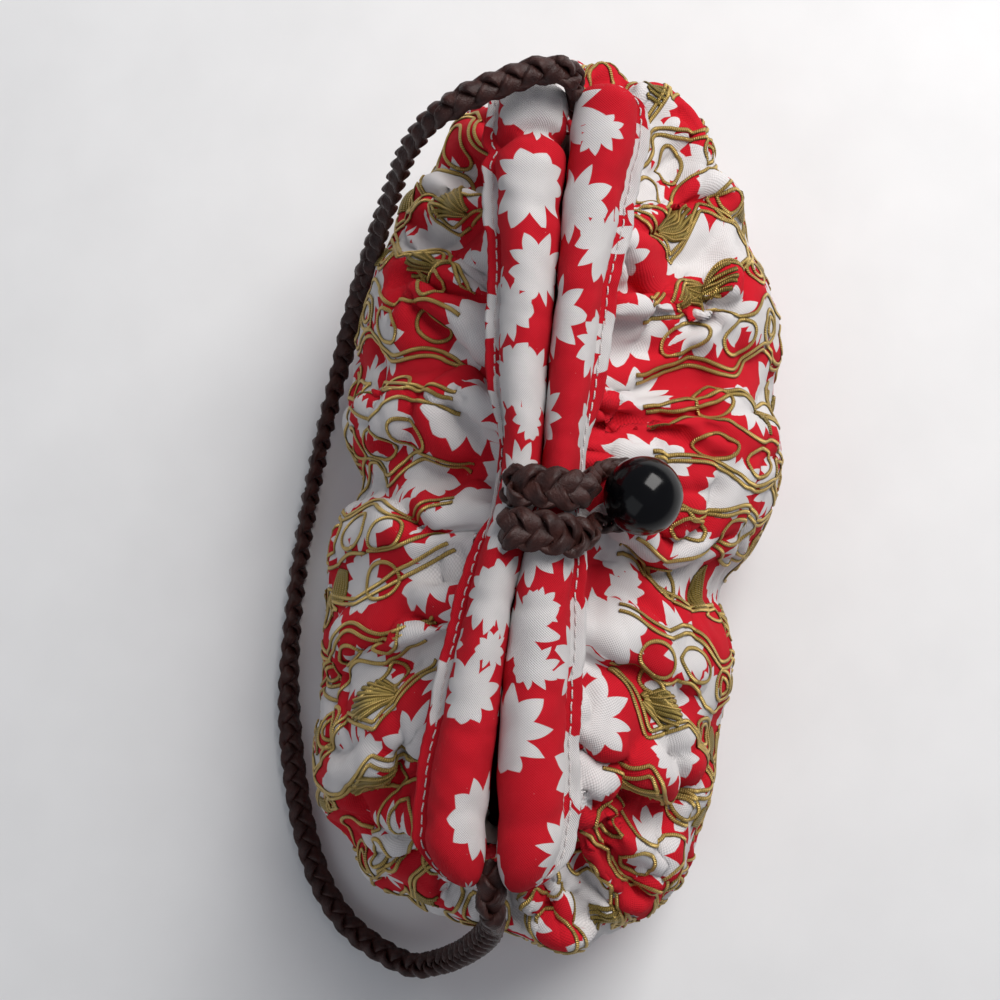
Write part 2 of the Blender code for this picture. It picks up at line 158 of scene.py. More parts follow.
POUCH_SECTIONS = np.array((
    # height, length, width, gather, pull
    (0.000, 0.30, 0.30, 0.00, 0.00),
    (0.000, 0.62, 0.60, 0.00, 0.00),
    (0.000, 0.88, 0.84, 0.02, 0.00),
    (0.045, 0.955, 0.94, 0.08, 0.00),
    (0.140, 0.99, 0.985, 0.20, 0.00),
    (0.260, 1.00, 1.00, 0.32, 0.00),
    (0.400, 1.00, 1.00, 0.46, 0.02),
    (0.540, 0.99, 0.975, 0.62, 0.05),
    (0.670, 0.965, 0.915, 0.80, 0.10),
    (0.780, 0.925, 0.82, 0.95, 0.20),
    (0.865, 0.88, 0.69, 1.00, 0.35),
    (0.925, 0.84, 0.54, 0.92, 0.52),
    (0.965, 0.80, 0.39, 0.66, 0.72),
    (0.985, 0.77, 0.26, 0.36, 0.90),
    (0.992, 0.75, 0.15, 0.10, 1.00),
))
FIRST_SIDE_ROW = 2.0

POUCH_LOBES = np.array((
    # direction in degrees, reach
    (0, 1.065), (38, 1.010), (64, 1.040), (78, 1.030), (98, 1.045), (108, 1.085), (124, 1.110),
    (136, 1.040), (150, 0.965), (165, 0.925), (180, 0.930), (198, 0.985), (218, 1.005), (232, 1.030),
    (248, 0.960), (262, 0.940), (278, 1.115), (290, 1.115), (306, 1.070), (322, 1.050), (344, 1.070),
))

BACK_CREASES = (
    # place, depth, width, slant, reach
    (0.93, 0.75, 5.5, -5, 0.20),
    (0.76, 0.95, 4.6, 3, 0.35),
    (0.55, 0.80, 4.2, -4, 0.25),
    (0.33, 0.95, 4.4, 5, 0.30),
    (0.04, 1.30, 5.0, 0, 1.00),
    (-0.21, 0.80, 4.4, 4, 0.20),
    (-0.44, 1.05, 4.6, -5, 0.45),
    (-0.66, 0.90, 4.6, 4, 0.30),
    (-0.86, 0.70, 7.0, 2, 0.15),
)
FRONT_CREASES = (
    # place, depth, width, slant, reach
    (0.95, 0.70, 5.5, 5, 0.20),
    (0.79, 0.90, 4.6, -4, 0.30),
    (0.58, 0.85, 4.2, 4, 0.30),
    (0.34, 1.00, 4.6, -5, 0.40),
    (-0.22, 1.10, 5.4, 6, 0.80),
    (-0.45, 0.90, 4.4, -4, 0.25),
    (-0.66, 1.00, 4.6, 5, 0.35),
    (-0.87, 0.80, 5.5, -5, 0.25),
)

CASING_STATIONS = np.array((
    # place, back_girth, front_girth, back_height, bow, parting, hem
    (-1.00, 0.78, 0.78, 0.92, 0.80, 0.52, 0.60),
    (-0.85, 0.84, 0.89, 1.00, 1.00, 0.42, 1.00),
    (-0.55, 0.74, 0.92, 1.00, 1.08, 0.10, 1.00),
    (-0.22, 0.60, 0.72, 0.98, 0.66, 0.08, 0.90),
    (-0.06, 0.54, 0.55, 0.97, 0.20, 0.07, 0.35),
    (0.06, 0.54, 0.54, 0.97, 0.10, 0.07, 0.35),
    (0.22, 0.66, 0.61, 0.98, 0.14, 0.08, 0.90),
    (0.47, 0.78, 0.67, 1.00, 0.14, 0.10, 1.00),
    (0.76, 0.97, 0.86, 1.02, 0.12, 0.16, 1.00),
    (0.87, 1.02, 0.94, 0.86, 0.12, 0.22, 1.00),
    (1.00, 1.04, 0.86, 0.96, 0.05, 0.32, 0.60),
))
PLACE, BACK_GIRTH, FRONT_GIRTH, BACK_HEIGHT, BOW, PARTING, HEM = range(7)

STRAP_ROUTE = (
    (0.1161, 0.0030, 0.1402),
    (0.1160, 0.0068, 0.1406),
    (0.1153, 0.0113, 0.1406),
    (0.1131, 0.0165, 0.1404),
    (0.1102, 0.0230, 0.1402),
    (0.1075, 0.0293, 0.1386),
    (0.1051, 0.0354, 0.1345),
    (0.1040, 0.0410, 0.1270),
    (0.1006, 0.0486, 0.1110),
    (0.0973, 0.0531, 0.0970),
    (0.0929, 0.0573, 0.0830),
    (0.0862, 0.0622, 0.0680),
    (0.0778, 0.0671, 0.0520),
    (0.0658, 0.0722, 0.0370),
    (0.0510, 0.0777, 0.0230),
    (0.0297, 0.0833, 0.0115),
    (0.0056, 0.0870, 0.0060),
    (-0.0183, 0.0887, 0.0053),
    (-0.0437, 0.0891, 0.0053),
    (-0.0687, 0.0876, 0.0053),
    (-0.0952, 0.0827, 0.0053),
    (-0.1154, 0.0767, 0.0053),
    (-0.1331, 0.0684, 0.0053),
    (-0.1451, 0.0579, 0.0060),
    (-0.1520, 0.0455, 0.0085),
    (-0.1547, 0.0341, 0.0140),
    (-0.1507, 0.0245, 0.0250),
    (-0.1445, 0.0168, 0.0420),
    (-0.1372, 0.0106, 0.0620),
    (-0.1297, 0.0060, 0.0820),
    (-0.1240, 0.0042, 0.0970),
    (-0.1215, 0.0038, 0.1080),
    (-0.1203, 0.0040, 0.1155),
    (-0.1188, 0.0041, 0.1205),
    (-0.1150, 0.0043, 0.1238),
    (-0.1095, 0.0046, 0.1246),
    (-0.1040, 0.0052, 0.1232),
)

# The way that the strap's broad face looks, by its share of the length: 0 is up from the floor, or out to
# the back where the strap is steep, and 90 is a quarter turn on.
STRAP_TURNS = np.array((
    # share, degrees
    (0.00, 0), (0.12, 0), (0.22, 30), (0.32, 75), (0.48, 70),
    (0.60, 15), (0.77, -10), (0.85, -40), (0.94, -30), (1.00, 0),
))

# The two strands of the closing loop, from the back casing's seam down to the shank of the ball.
LOOP_ROUTE = np.array((
    # x, y, z, and the way it faces in y and z, and width
    (-0.0080, 0.0170, 0.1260, 1.0, 0.0, 0.0118),
    (-0.0080, 0.0165, 0.1305, 1.0, 0.3, 0.0118),
    (-0.0080, 0.0145, 0.1345, 0.8, 0.6, 0.0118),
    (-0.0080, 0.0110, 0.1375, 0.3, 1.0, 0.0118),
    (-0.0080, 0.0025, 0.1390, 0.0, 1.0, 0.0118),
    (-0.0080, -0.0060, 0.1370, -0.5, 0.8, 0.0118),
    (-0.0075, -0.0090, 0.1340, -0.9, 0.4, 0.0106),
    (-0.0060, -0.0115, 0.1305, -1.0, 0.2, 0.0083),
    (-0.0020, -0.0115, 0.1225, -1.0, -0.2, 0.0071),
    (0.0015, -0.0155, 0.1160, -0.7, 0.4, 0.0057),
    (0.0030, -0.0230, 0.1110, -0.5, 0.9, 0.0048),
    (-0.0025, -0.0280, 0.1075, -0.5, 0.9, 0.0048),
    (-0.0090, -0.0275, 0.1075, -0.5, 0.9, 0.0048),
    (-0.0135, -0.0210, 0.1105, -0.5, 0.9, 0.0048),
    (-0.0145, -0.0140, 0.1165, -0.8, 0.2, 0.0062),
    (-0.0155, -0.0120, 0.1200, -1.0, -0.3, 0.0071),
    (-0.0185, -0.0130, 0.1285, -1.0, 0.2, 0.0071),
    (-0.0205, -0.0080, 0.1355, -0.8, 0.6, 0.0118),
    (-0.0205, -0.0045, 0.1380, -0.4, 0.9, 0.0118),
    (-0.0200, 0.0045, 0.1390, 0.0, 1.0, 0.0118),
    (-0.0200, 0.0135, 0.1375, 0.4, 0.9, 0.0118),
    (-0.0200, 0.0165, 0.1345, 0.8, 0.6, 0.0118),
    (-0.0200, 0.0185, 0.1305, 1.0, 0.3, 0.0118),
    (-0.0200, 0.0190, 0.1260, 1.0, 0.0, 0.0118),
))

# Camera and stage
CAMERA_PLACE = (-0.05771, -0.01071, 0.54354)
CAMERA_RIGHT = (0.08614, -0.99511, -0.04829)
CAMERA_UP = (0.99012, 0.08012, 0.11509)
CAMERA_AHEAD = (0.11066, 0.05772, -0.99218)
CAMERA_LENS = 54
FLOOR_REACH = 9.0


# Curves and grids


def unit(v):
    """Vectors of length 1: v / |v|."""
    return v / np.maximum(np.linalg.norm(v, axis=-1, keepdims=True), 1e-12)


def smooth_between(at, stops, values):
    """Values between rising stops, on a cubic with no overshoot: v0 + u²(3 - 2u)·(v1 - v0), plus
    u(1 - u)·((1 - u)·slope0 - u·slope1) that gives it the slope at each stop."""
    at, stops, values = (np.asarray(a, float) for a in (at, stops, values))
    span = np.diff(stops)
    slope = np.diff(values) / span
    lean = np.concatenate([[slope[0]], (slope[:-1] + slope[1:]) / 2, [slope[-1]]])
    lean[1:-1] = np.where(slope[:-1] * slope[1:] <= 0, 0.0, lean[1:-1])
    at = np.clip(at, stops[0], stops[-1])
    i = np.clip(np.searchsorted(stops, at, side="right") - 1, 0, len(span) - 1)
    u = (at - stops[i]) / span[i]
    ends = u * (1 - u) * ((1 - u) * lean[i] - u * lean[i + 1]) * span[i]
    return values[i] + u * u * (3 - 2 * u) * (values[i + 1] - values[i]) + ends


def curve_through(points, step):
    """Points every step along the centripetal Catmull-Rom curve through the given ones."""
    p = np.array(points, float)
    p = np.vstack([2 * p[0] - p[1], p, 2 * p[-1] - p[-2]])
    knots = np.concatenate([[0], np.cumsum(np.linalg.norm(np.diff(p, axis=0), axis=1) ** 0.5)])
    fine = []
    for i in range(1, len(p) - 2):
        t0, t1, t2, t3 = knots[i - 1 : i + 3]
        t = np.linspace(t1, t2, 24, endpoint=False)[:, None]
        a1 = (t1 - t) / (t1 - t0) * p[i - 1] + (t - t0) / (t1 - t0) * p[i]
        a2 = (t2 - t) / (t2 - t1) * p[i] + (t - t1) / (t2 - t1) * p[i + 1]
        a3 = (t3 - t) / (t3 - t2) * p[i + 1] + (t - t2) / (t3 - t2) * p[i + 2]
        b1 = (t2 - t) / (t2 - t0) * a1 + (t - t0) / (t2 - t0) * a2
        b2 = (t3 - t) / (t3 - t1) * a2 + (t - t1) / (t3 - t1) * a3
        fine.append((t2 - t) / (t2 - t1) * b1 + (t - t1) / (t2 - t1) * b2)
    return spaced(np.vstack([*fine, p[-2:-1]]), step)


def spaced(points, step):
    """The same line with its points every step along it."""
    along = run_along(points)
    at = np.linspace(0, along[-1], max(2, int(round(along[-1] / step)) + 1))
    return np.stack([np.interp(at, along, points[:, k]) for k in range(points.shape[1])], axis=1)


def run_along(points):
    """The length run at each point of a line."""
    return np.concatenate([[0], np.cumsum(np.linalg.norm(np.diff(points, axis=0), axis=1))])


def grid_faces(rows, columns, wraps):
    """Faces of a grid, as corner numbers, joined round in the columns if it wraps."""
    i, j = np.meshgrid(np.arange(rows - 1), np.arange(columns if wraps else columns - 1), indexing="ij")
    k = (j + 1) % columns
    low, high = i * columns, (i + 1) * columns
    return np.stack([low + j, low + k, high + k, high + j], -1).reshape(-1, 4)


def grid_uvs(uv):
    """Corner UVs of a grid's faces. A grid that wraps has one more column of UVs than of points."""
    rows, columns = uv.shape[0], uv.shape[1] - 1
    i, j = np.meshgrid(np.arange(rows - 1), np.arange(columns), indexing="ij")
    return np.stack([uv[i, j], uv[i, j + 1], uv[i + 1, j + 1], uv[i + 1, j]], -2).reshape(-1, 2)


def end_faces(rings, around):
    """Quads that close the first and the last ring, like the rungs of a ladder. The count round is even."""
    i = np.arange(around // 2 - 1)
    rungs = np.stack([i, i + 1, around - 2 - i, around - 1 - i], 1)
    return rungs[:, ::-1], rungs + (rings - 1) * around


def closed_tube(grid, uv):
    """Faces and corner UVs of a grid that wraps in its columns and is closed at both ends."""
    rings, around = grid.shape[:2]
    ends = np.vstack(end_faces(rings, around))
    spots = uv[:, :-1].reshape(-1, 2)
    faces = np.vstack([grid_faces(rings, around, True), ends])
    return faces, np.vstack([grid_uvs(uv), spots[ends.ravel()]])


def make_mesh(name, points, faces, uvs, finish):
    """One object from arrays of points, faces of 4 corners and corner UVs."""
    mesh = bpy.data.meshes.new(name)
    mesh.from_pydata(points.tolist(), [], faces.tolist())
    layer = mesh.uv_layers.new(name="UVMap")
    layer.data.foreach_set("uv", np.ascontiguousarray(uvs, dtype=np.float32).ravel())
    mesh.shade_smooth()
    obj = bpy.data.objects.new(name, mesh)
    mesh.materials.append(finish)
    bpy.context.scene.collection.objects.link(obj)
    return obj


def tube(path, out, profile, wide=1.0, tall=1.0):
    """A profile of (across, out) pairs carried along a path: p + a·across·wide + o·out·tall, with both ends
    drawn in and closed. Returns points, faces and corner UVs: u is the length run and v the share round."""
    path = np.asarray(path, float)
    along = unit(np.gradient(path, axis=0))
    out = unit(out - (out * along).sum(1, keepdims=True) * along)
    across = np.cross(out, along)
    wide = np.broadcast_to(np.asarray(wide, float), len(path))[:, None, None]
    tall = np.broadcast_to(np.asarray(tall, float), len(path))[:, None, None]
    side, rise = profile[None, :, :1], profile[None, :, 1:]
    points = path[:, None] + across[:, None] * side * wide + out[:, None] * rise * tall
    around = points.shape[1]
    start, end = points[:1].mean(1, keepdims=True), points[-1:].mean(1, keepdims=True)
    first, last = start + (points[:1] - start) * TIP_SIZE, end + (points[-1:] - end) * TIP_SIZE
    points = np.concatenate([first, points, last])
    run = run_along(path)
    run = np.concatenate([[run[0]], run, [run[-1]]])
    uv = np.stack(np.broadcast_arrays(run[:, None], np.linspace(0, 1, around + 1)[None]), -1)
    faces, corners = closed_tube(points, uv)
    return points.reshape(-1, 3), faces, corners


def join(name, parts, finish):
    """Several strips as one mesh."""
    count, faces = 0, []
    for points, strip, _ in parts:
        faces.append(strip + count)
        count += len(points)
    points, corners = (np.vstack([part[k] for part in parts]) for k in (0, 2))
    return make_mesh(name, points, np.vstack(faces), corners, finish)


def oval(width, height, sides, power=1.0):
    """A closed profile: (w/2·cos, h/2·sin), where a power under 1 makes it squarer."""
    turn = np.linspace(0, 2 * math.pi, sides, endpoint=False)
    c, s = np.cos(turn), np.sin(turn)
    x, y = (np.sign(a) * np.abs(a) ** power for a in (c, s))
    return np.stack([width / 2 * x, height / 2 * y], 1)


def hills(seed, *places):
    """Soft hills from about -1 to 1, for places measured in wavelengths: the sum of nine sines
    sin(2π·pace·(place·direction) + start) in directions by chance, divided by 4.5."""
    rng = np.random.default_rng(seed)
    total = 0
    for _ in range(9):
        turns = rng.normal(size=len(places))
        turns /= np.linalg.norm(turns)
        pace = rng.uniform(0.6, 1.6)
        start = rng.uniform(0, 6.28)
        total = total + np.sin(sum(p * t for p, t in zip(places, turns)) * 2 * math.pi * pace + start)
    return total / 4.5


# Shader groups


class Nodes:
    """Short ways to add nodes to a tree and link them."""

    def __init__(self, tree):
        self.tree = tree

    def add(self, kind, settings=None, **inputs):
        """A node of a kind, with its settings and its inputs' values or links by name."""
        node = self.tree.nodes.new(kind)
        for name, value in (settings or {}).items():
            setattr(node, name, value)
        for name, value in inputs.items():
            self.put(node.inputs[name.replace("_", " ")], value)
        return node

    def put(self, socket, value):
        """Links an output to a socket, or sets the socket's own value."""
        if isinstance(value, bpy.types.NodeSocket):
            self.tree.links.new(value, socket)
        else:
            socket.default_value = value

    def math(self, operation, *values, clamp=False):
        node = self.add("ShaderNodeMath", {"operation": operation, "use_clamp": clamp})
        for socket, value in zip(node.inputs, values):
            self.put(socket, value)
        return node.outputs[0]

    def vector(self, operation, *values):
        node = self.add("ShaderNodeVectorMath", {"operation": operation})
        for socket, value in zip(node.inputs, values):
            self.put(socket, value)
        return node.outputs["Value"] if operation == "LENGTH" else node.outputs[0]

    def mix(self, factor, a, b):
        node = self.add("ShaderNodeMix", {"data_type": "RGBA"})
        self.put(node.inputs["Factor"], factor)
        self.put(node.inputs[6], a)
        self.put(node.inputs[7], b)
        return node.outputs[2]

    def noise(self, vector, scale, detail=2.0):
        return self.add("ShaderNodeTexNoise", Vector=vector, Scale=scale, Detail=detail).outputs[0]

    def ramp(self, value, low, high, to_low=0.0, to_high=1.0):
        """The value moved from low..high to to_low..to_high, and held at the ends."""
        node = self.add("ShaderNodeMapRange")
        for socket, v in zip(node.inputs, (value, low, high, to_low, to_high)):
            self.put(socket, v)
        return node.outputs[0]

    def split(self, vector):
        return self.add("ShaderNodeSeparateXYZ", Vector=vector).outputs

    def join(self, x, y, z=0.0):
        return self.add("ShaderNodeCombineXYZ", X=x, Y=y, Z=z).outputs[0]


def make_group(name, inputs, outputs, fill):
    """A shader node group. Inputs are (name, type, default) and outputs are (name, type)."""
    group = bpy.data.node_groups.new(name, "ShaderNodeTree")
    for label, kind, default in inputs:
        socket = group.interface.new_socket(label, in_out="INPUT", socket_type=kind)
        if default is not None:
            socket.default_value = default
    for label, kind in outputs:
        group.interface.new_socket(label, in_out="OUTPUT", socket_type=kind)
    n = Nodes(group)
    start = group.nodes.new("NodeGroupInput")
    end = group.nodes.new("NodeGroupOutput")
    for label, value in fill(n, start.outputs).items():
        n.put(end.inputs[label], value)
    return group


def leaf_layer(n, place, cell, seed, share):
    """Leaves on a loose grid of cells, of which a share are filled. A place is inside where its distance from
    the cell's middle is under R·(0.84 + 0.16·cos)·(1 - depth·tooth). The angle is turned by chance, and the
    tooth goes 0, 1, 0 ten times round."""
    moved = n.vector("ADD", place, n.join(seed, n.math("MULTIPLY", seed, 1.7)))
    flat = {"voronoi_dimensions": "2D"}
    spots = n.add("ShaderNodeTexVoronoi", flat, Vector=moved, Scale=1 / cell, Randomness=0.38).outputs
    chance = n.add("ShaderNodeSeparateColor", Color=spots["Color"]).outputs
    away = n.vector("SUBTRACT", moved, spots["Position"])
    x, y, _ = n.split(away)
    turn = n.math("ADD", n.math("ARCTAN2", y, x), n.math("MULTIPLY", chance[0], FULL_TURN))
    facing = n.math("COSINE", turn)
    tooth = n.math("MULTIPLY", n.math("PINGPONG", n.math("MULTIPLY", turn, 10 / FULL_TURN), 0.5), 2.0)
    uneven = n.math("SINE", n.math("MULTIPLY_ADD", turn, 3.0, n.math("MULTIPLY", chance[1], 20.0)))
    depth = n.ramp(facing, -1.0, -0.5, 0.14, 0.42)
    depth = n.math("MULTIPLY", depth, n.math("MULTIPLY_ADD", uneven, 0.22, 0.95))
    size = n.math("MULTIPLY", cell, n.ramp(chance[2], 0, 1, 0.40, 0.50))
    filled = n.math("LESS_THAN", chance[1], share)
    reach = n.math("MULTIPLY", size, n.math("MULTIPLY_ADD", facing, 0.16, 0.84))
    reach = n.math("MULTIPLY", reach, n.math("SUBTRACT", 1.0, n.math("MULTIPLY", depth, tooth)))
    inside = n.math("SUBTRACT", n.math("MULTIPLY", reach, filled), n.vector("LENGTH", away))
    return n.math("MULTIPLY_ADD", inside, 1 / PRINT_EDGE, 0.5, clamp=True)


def printed_cloth_group():
    """White leaves in three layers on red. The weave, sin(x + y) + sin(x - y), is in its height and in a
    painted shade of the colour, darker between the threads and lighter on their tops.
    """

    def fill(n, given):
        place = given["Place"]
        soft = n.noise(place, 45.0, 3.0)
        wander = n.math("MULTIPLY", n.math("SUBTRACT", soft, 0.5), 0.003)
        moved = n.vector("ADD", place, n.join(wander, wander))
        large = leaf_layer(n, moved, 0.030, given["Seed"], 0.90)
        middle = leaf_layer(n, moved, 0.027, n.math("ADD", given["Seed"], 3.37), 0.60)
        small = leaf_layer(n, moved, 0.017, n.math("ADD", given["Seed"], 5.13), 0.18)
        print_mask = n.math("MAXIMUM", n.math("MAXIMUM", large, middle), small)
        patchy = n.noise(place, 190.0, 4.0)
        red = n.mix(patchy, (0.48, 0.0065, 0.015, 1), (0.57, 0.011, 0.024, 1))
        white = n.mix(patchy, (0.60, 0.575, 0.57, 1), (0.69, 0.66, 0.655, 1))
        colour = n.mix(print_mask, red, white)
        x, y, _ = n.split(place)
        pace = FULL_TURN / WEAVE_PITCH
        warp = n.math("SINE", n.math("MULTIPLY", n.math("ADD", x, y), pace))
        weft = n.math("SINE", n.math("MULTIPLY", n.math("SUBTRACT", x, y), pace))
        weave = n.math("MULTIPLY", n.math("ADD", warp, weft), 0.25)
        slub = n.noise(n.join(x, n.math("MULTIPLY", y, 6.0)), 420.0, 2.0)
        height = n.math("ADD", weave, n.math("MULTIPLY", slub, 0.9))
        # Painted shade: the colour is scaled by 1 + weave·strength, so it is darker where the threads sink.
        shade = n.math("MULTIPLY_ADD", weave, given["Weave painted shade"], 1.0)
        shaded = n.add("ShaderNodeVectorMath", {"operation": "SCALE"}, Scale=shade)
        n.put(shaded.inputs[0], colour)
        return {"Colour": shaded.outputs[0], "Height": height}

    return make_group(
        "printed cotton",
        [
            ("Place", "NodeSocketVector", None),
            ("Seed", "NodeSocketFloat", 0.0),
            ("Weave painted shade", "NodeSocketFloat", 0.28),
        ],
        [("Colour", "NodeSocketColor"), ("Height", "NodeSocketFloat")],
        fill,
    )


def new_material(name, roughness=0.5, metallic=0.0, **constants):
    """A material with its Principled shader. Constants are values on the shader's own sockets."""
    made = bpy.data.materials.new(name)
    made.use_nodes = True
    shader = made.node_tree.nodes["Principled BSDF"]
    shader.inputs["Roughness"].default_value = roughness
    shader.inputs["Metallic"].default_value = metallic
    for label, value in constants.items():
        shader.inputs[label.replace("_", " ")].default_value = value
    return made, Nodes(made.node_tree), shader


def put_bump(n, shader, height, distance):
    """A bump from a height of 0 to 1 that stands for a distance."""
    bump = n.add("ShaderNodeBump", Height=height, Distance=distance, Strength=1.0)
    n.put(shader.inputs["Normal"], bump.outputs[0])


def cloth_material(name, group, seed, bump):
    """Printed cotton on a piece's own UV map, which is in metres. The seed moves the print."""
    made, n, shader = new_material(name, roughness=0.9, Specular_IOR_Level=0.15)
    place = n.add("ShaderNodeUVMap", {"uv_map": "UVMap"}).outputs[0]
    cloth = n.add("ShaderNodeGroup", {"node_tree": group}, Place=place, Seed=seed)
    n.put(shader.inputs["Base Color"], cloth.outputs["Colour"])
    put_bump(n, shader, cloth.outputs["Height"], bump)
    return made


def leather_material(name, dark, light):
    """Thin glazed leather: a fine grain, long streaks and a worn, lighter face."""
    made, n, shader = new_material(
        name, roughness=0.4, Specular_IOR_Level=0.26, Coat_Weight=0.04, Coat_Roughness=0.25
    )
    place = n.add("ShaderNodeTexCoord").outputs["Object"]
    run = n.add("ShaderNodeUVMap", {"uv_map": "UVMap"}).outputs[0]
    u, v, _ = n.split(run)
    streak = n.noise(n.join(n.math("MULTIPLY", u, 220.0), n.math("MULTIPLY", v, 7.0)), 1.0, 4.0)
    grain = n.noise(place, 2600.0, 2.0)
    blotch = n.noise(place, 240.0, 3.0)
    tone = n.math("ADD", n.math("MULTIPLY", streak, 0.6), n.math("MULTIPLY", blotch, 0.4))
    n.put(shader.inputs["Base Color"], n.mix(n.ramp(tone, 0.3, 0.7), (*dark, 1), (*light, 1)))
    n.put(shader.inputs["Roughness"], n.ramp(blotch, 0.3, 0.7, 0.30, 0.50))
    height = n.math("ADD", n.math("MULTIPLY", streak, 0.7), n.math("MULTIPLY", grain, 0.3))
    put_bump(n, shader, height, 0.0008)
    return made


def gold_material(name, deep, painted_highlight_colour):
    """Couched metallic thread: fine threads across each cord. A painted highlight makes it brighter along its
    top than at its sides, and painted shade darkens it between the fine threads.
    """
    made, n, shader = new_material(name, roughness=0.36, metallic=0.7)
    run = n.add("ShaderNodeUVMap", {"uv_map": "UVMap"}).outputs[0]
    u, v, _ = n.split(run)
    across = n.math("MULTIPLY_ADD", u, FULL_TURN / GOLD_THREAD_PITCH, n.math("MULTIPLY", v, 9.0))
    ply_relief_and_painted_shade = n.math("MULTIPLY_ADD", n.math("SINE", across), 0.5, 0.5)
    painted_top_highlight = n.math("MULTIPLY_ADD", n.math("SINE", n.math("MULTIPLY", v, FULL_TURN)), 0.5, 0.5)
    place = n.add("ShaderNodeTexCoord").outputs["Object"]
    patch = n.noise(place, 120.0, 2.0)
    # Painted highlight and shade: the colour runs from deep, the painted shade at the cord's sides and
    # between its threads, to the painted highlight on its top; patch adds tone that differs at random.
    tone = n.math("MULTIPLY", n.ramp(painted_top_highlight, 0.35, 1.0, 0.25, 1.0), n.ramp(ply_relief_and_painted_shade, 0.0, 0.6, 0.55, 1.0))
    tone = n.math("MULTIPLY", tone, n.ramp(patch, 0.3, 0.7, 0.75, 1.1))
    n.put(shader.inputs["Base Color"], n.mix(tone, deep, painted_highlight_colour))
    n.put(shader.inputs["Roughness"], n.ramp(patch, 0.3, 0.7, 0.34, 0.48))
    put_bump(n, shader, ply_relief_and_painted_shade, 0.00030)
    return made


def thread_material():
    """White sewing thread with its twist, in its bump and as painted shade: the colour is darker between the
    plies.
    """
    made, n, shader = new_material("white sewing thread", roughness=0.6, Sheen_Weight=0.2)
    run = n.add("ShaderNodeUVMap", {"uv_map": "UVMap"}).outputs[0]
    u, v, _ = n.split(run)
    slant = n.math("MULTIPLY_ADD", u, FULL_TURN / SEWING_TWIST, n.math("MULTIPLY", v, FULL_TURN))
    ply_relief_and_painted_shade = n.math("MULTIPLY_ADD", n.math("SINE", slant), 0.5, 0.5)
    # Painted shade: the twist darkens the colour in its grooves and lightens it on the plies.
    n.put(shader.inputs["Base Color"], n.mix(ply_relief_and_painted_shade, (0.46, 0.40, 0.39, 1), (0.72, 0.66, 0.65, 1)))
    put_bump(n, shader, ply_relief_and_painted_shade, 0.0001)
    return made


def ball_material():
    """Black glass-like gloss with faint swirls under the polish."""
    made, n, shader = new_material("polished black ball", roughness=0.1, Specular_IOR_Level=0.22)
    place = n.add("ShaderNodeTexCoord").outputs["Object"]
    swirl = n.noise(place, 90.0, 3.0)
    n.put(shader.inputs["Base Color"], n.mix(swirl, (0.001, 0.001, 0.0012, 1), (0.003, 0.003, 0.004, 1)))
    n.put(shader.inputs["Roughness"], n.ramp(n.noise(place, 300.0, 2.0), 0.4, 0.7, 0.12, 0.20))
    return made


def plain_cotton(name, dark, light):
    """Plain woven cotton: sin x·sin y for its threads, and a tone that wanders between two colours."""
    made, n, shader = new_material(name, roughness=0.85, Specular_IOR_Level=0.15)
    place = n.add("ShaderNodeUVMap", {"uv_map": "UVMap"}).outputs[0]
    x, y, _ = n.split(place)
    waves = [n.math("SINE", n.math("MULTIPLY", a, FULL_TURN / LINING_PITCH)) for a in (x, y)]
    weave = n.math("MULTIPLY", *waves)
    tone = n.noise(place, 60.0, 3.0)
    n.put(shader.inputs["Base Color"], n.mix(tone, dark, light))
    put_bump(n, shader, weave, 0.0002)
    return made


# The pouch


def casing_column(column, x):
    """A column of the casings' station table at x."""
    place = (np.asarray(x) - CASING_SHIFT) / CASING_HALF_LENGTH
    return smooth_between(place, CASING_STATIONS[:, PLACE], CASING_STATIONS[:, column])


def bow_at(x):
    """How far the mouth's middle line bows towards the back at x."""
    return MOUTH_BOW * casing_column(BOW, x)


def casing_half_height(side, x):
    """Half of a casing's height at x. The front casing's is the same all along."""
    return CASING_HALF_HEIGHT * (casing_column(BACK_HEIGHT, x) if side > 0 else 1 + 0 * np.asarray(x, float))


def casing_middle(side, x):
    """(y, z, half width) of a casing at x, where side is 1 for the back casing and -1 for the front one."""
    girth = CASING_HALF_WIDTH * casing_column(BACK_GIRTH if side > 0 else FRONT_GIRTH, x)
    apart = CASING_HALF_WIDTH * casing_column(PARTING, x) / 2
    rim = MOUTH_HEIGHT * POUCH_SECTIONS[-1][0]
    return bow_at(x) + side * (girth + apart), rim + CASING_SEAT + casing_half_height(side, x), girth


def plan_reach(angle):
    """The outline's reach from above as a share of the plain oblong's, by angle, on a curve that closes."""
    stops = np.concatenate([POUCH_LOBES[-1:, 0] - 360, POUCH_LOBES[:, 0], POUCH_LOBES[:1, 0] + 360])
    reach = np.concatenate([POUCH_LOBES[-1:, 1], POUCH_LOBES[:, 1], POUCH_LOBES[:1, 1]])
    return smooth_between(np.degrees(angle) % 360, stops, reach)


def crease_depth(angle, gather, down):
    """Σ depth·strength·exp(-(away/width)²) over the creases, where strength fades from mouth to base."""
    total = np.zeros_like(angle)
    for side, creases in ((1, BACK_CREASES), (-1, FRONT_CREASES)):
        for place, depth, width, slant, reach in creases:
            middle = side * math.degrees(math.acos(place)) + slant * down
            away = (np.degrees(angle) - middle + 180) % 360 - 180
            strength = gather * (1 - down) + reach * gather**0.5 * down
            total += depth * strength * np.exp(-((away / width) ** 2))
    return total


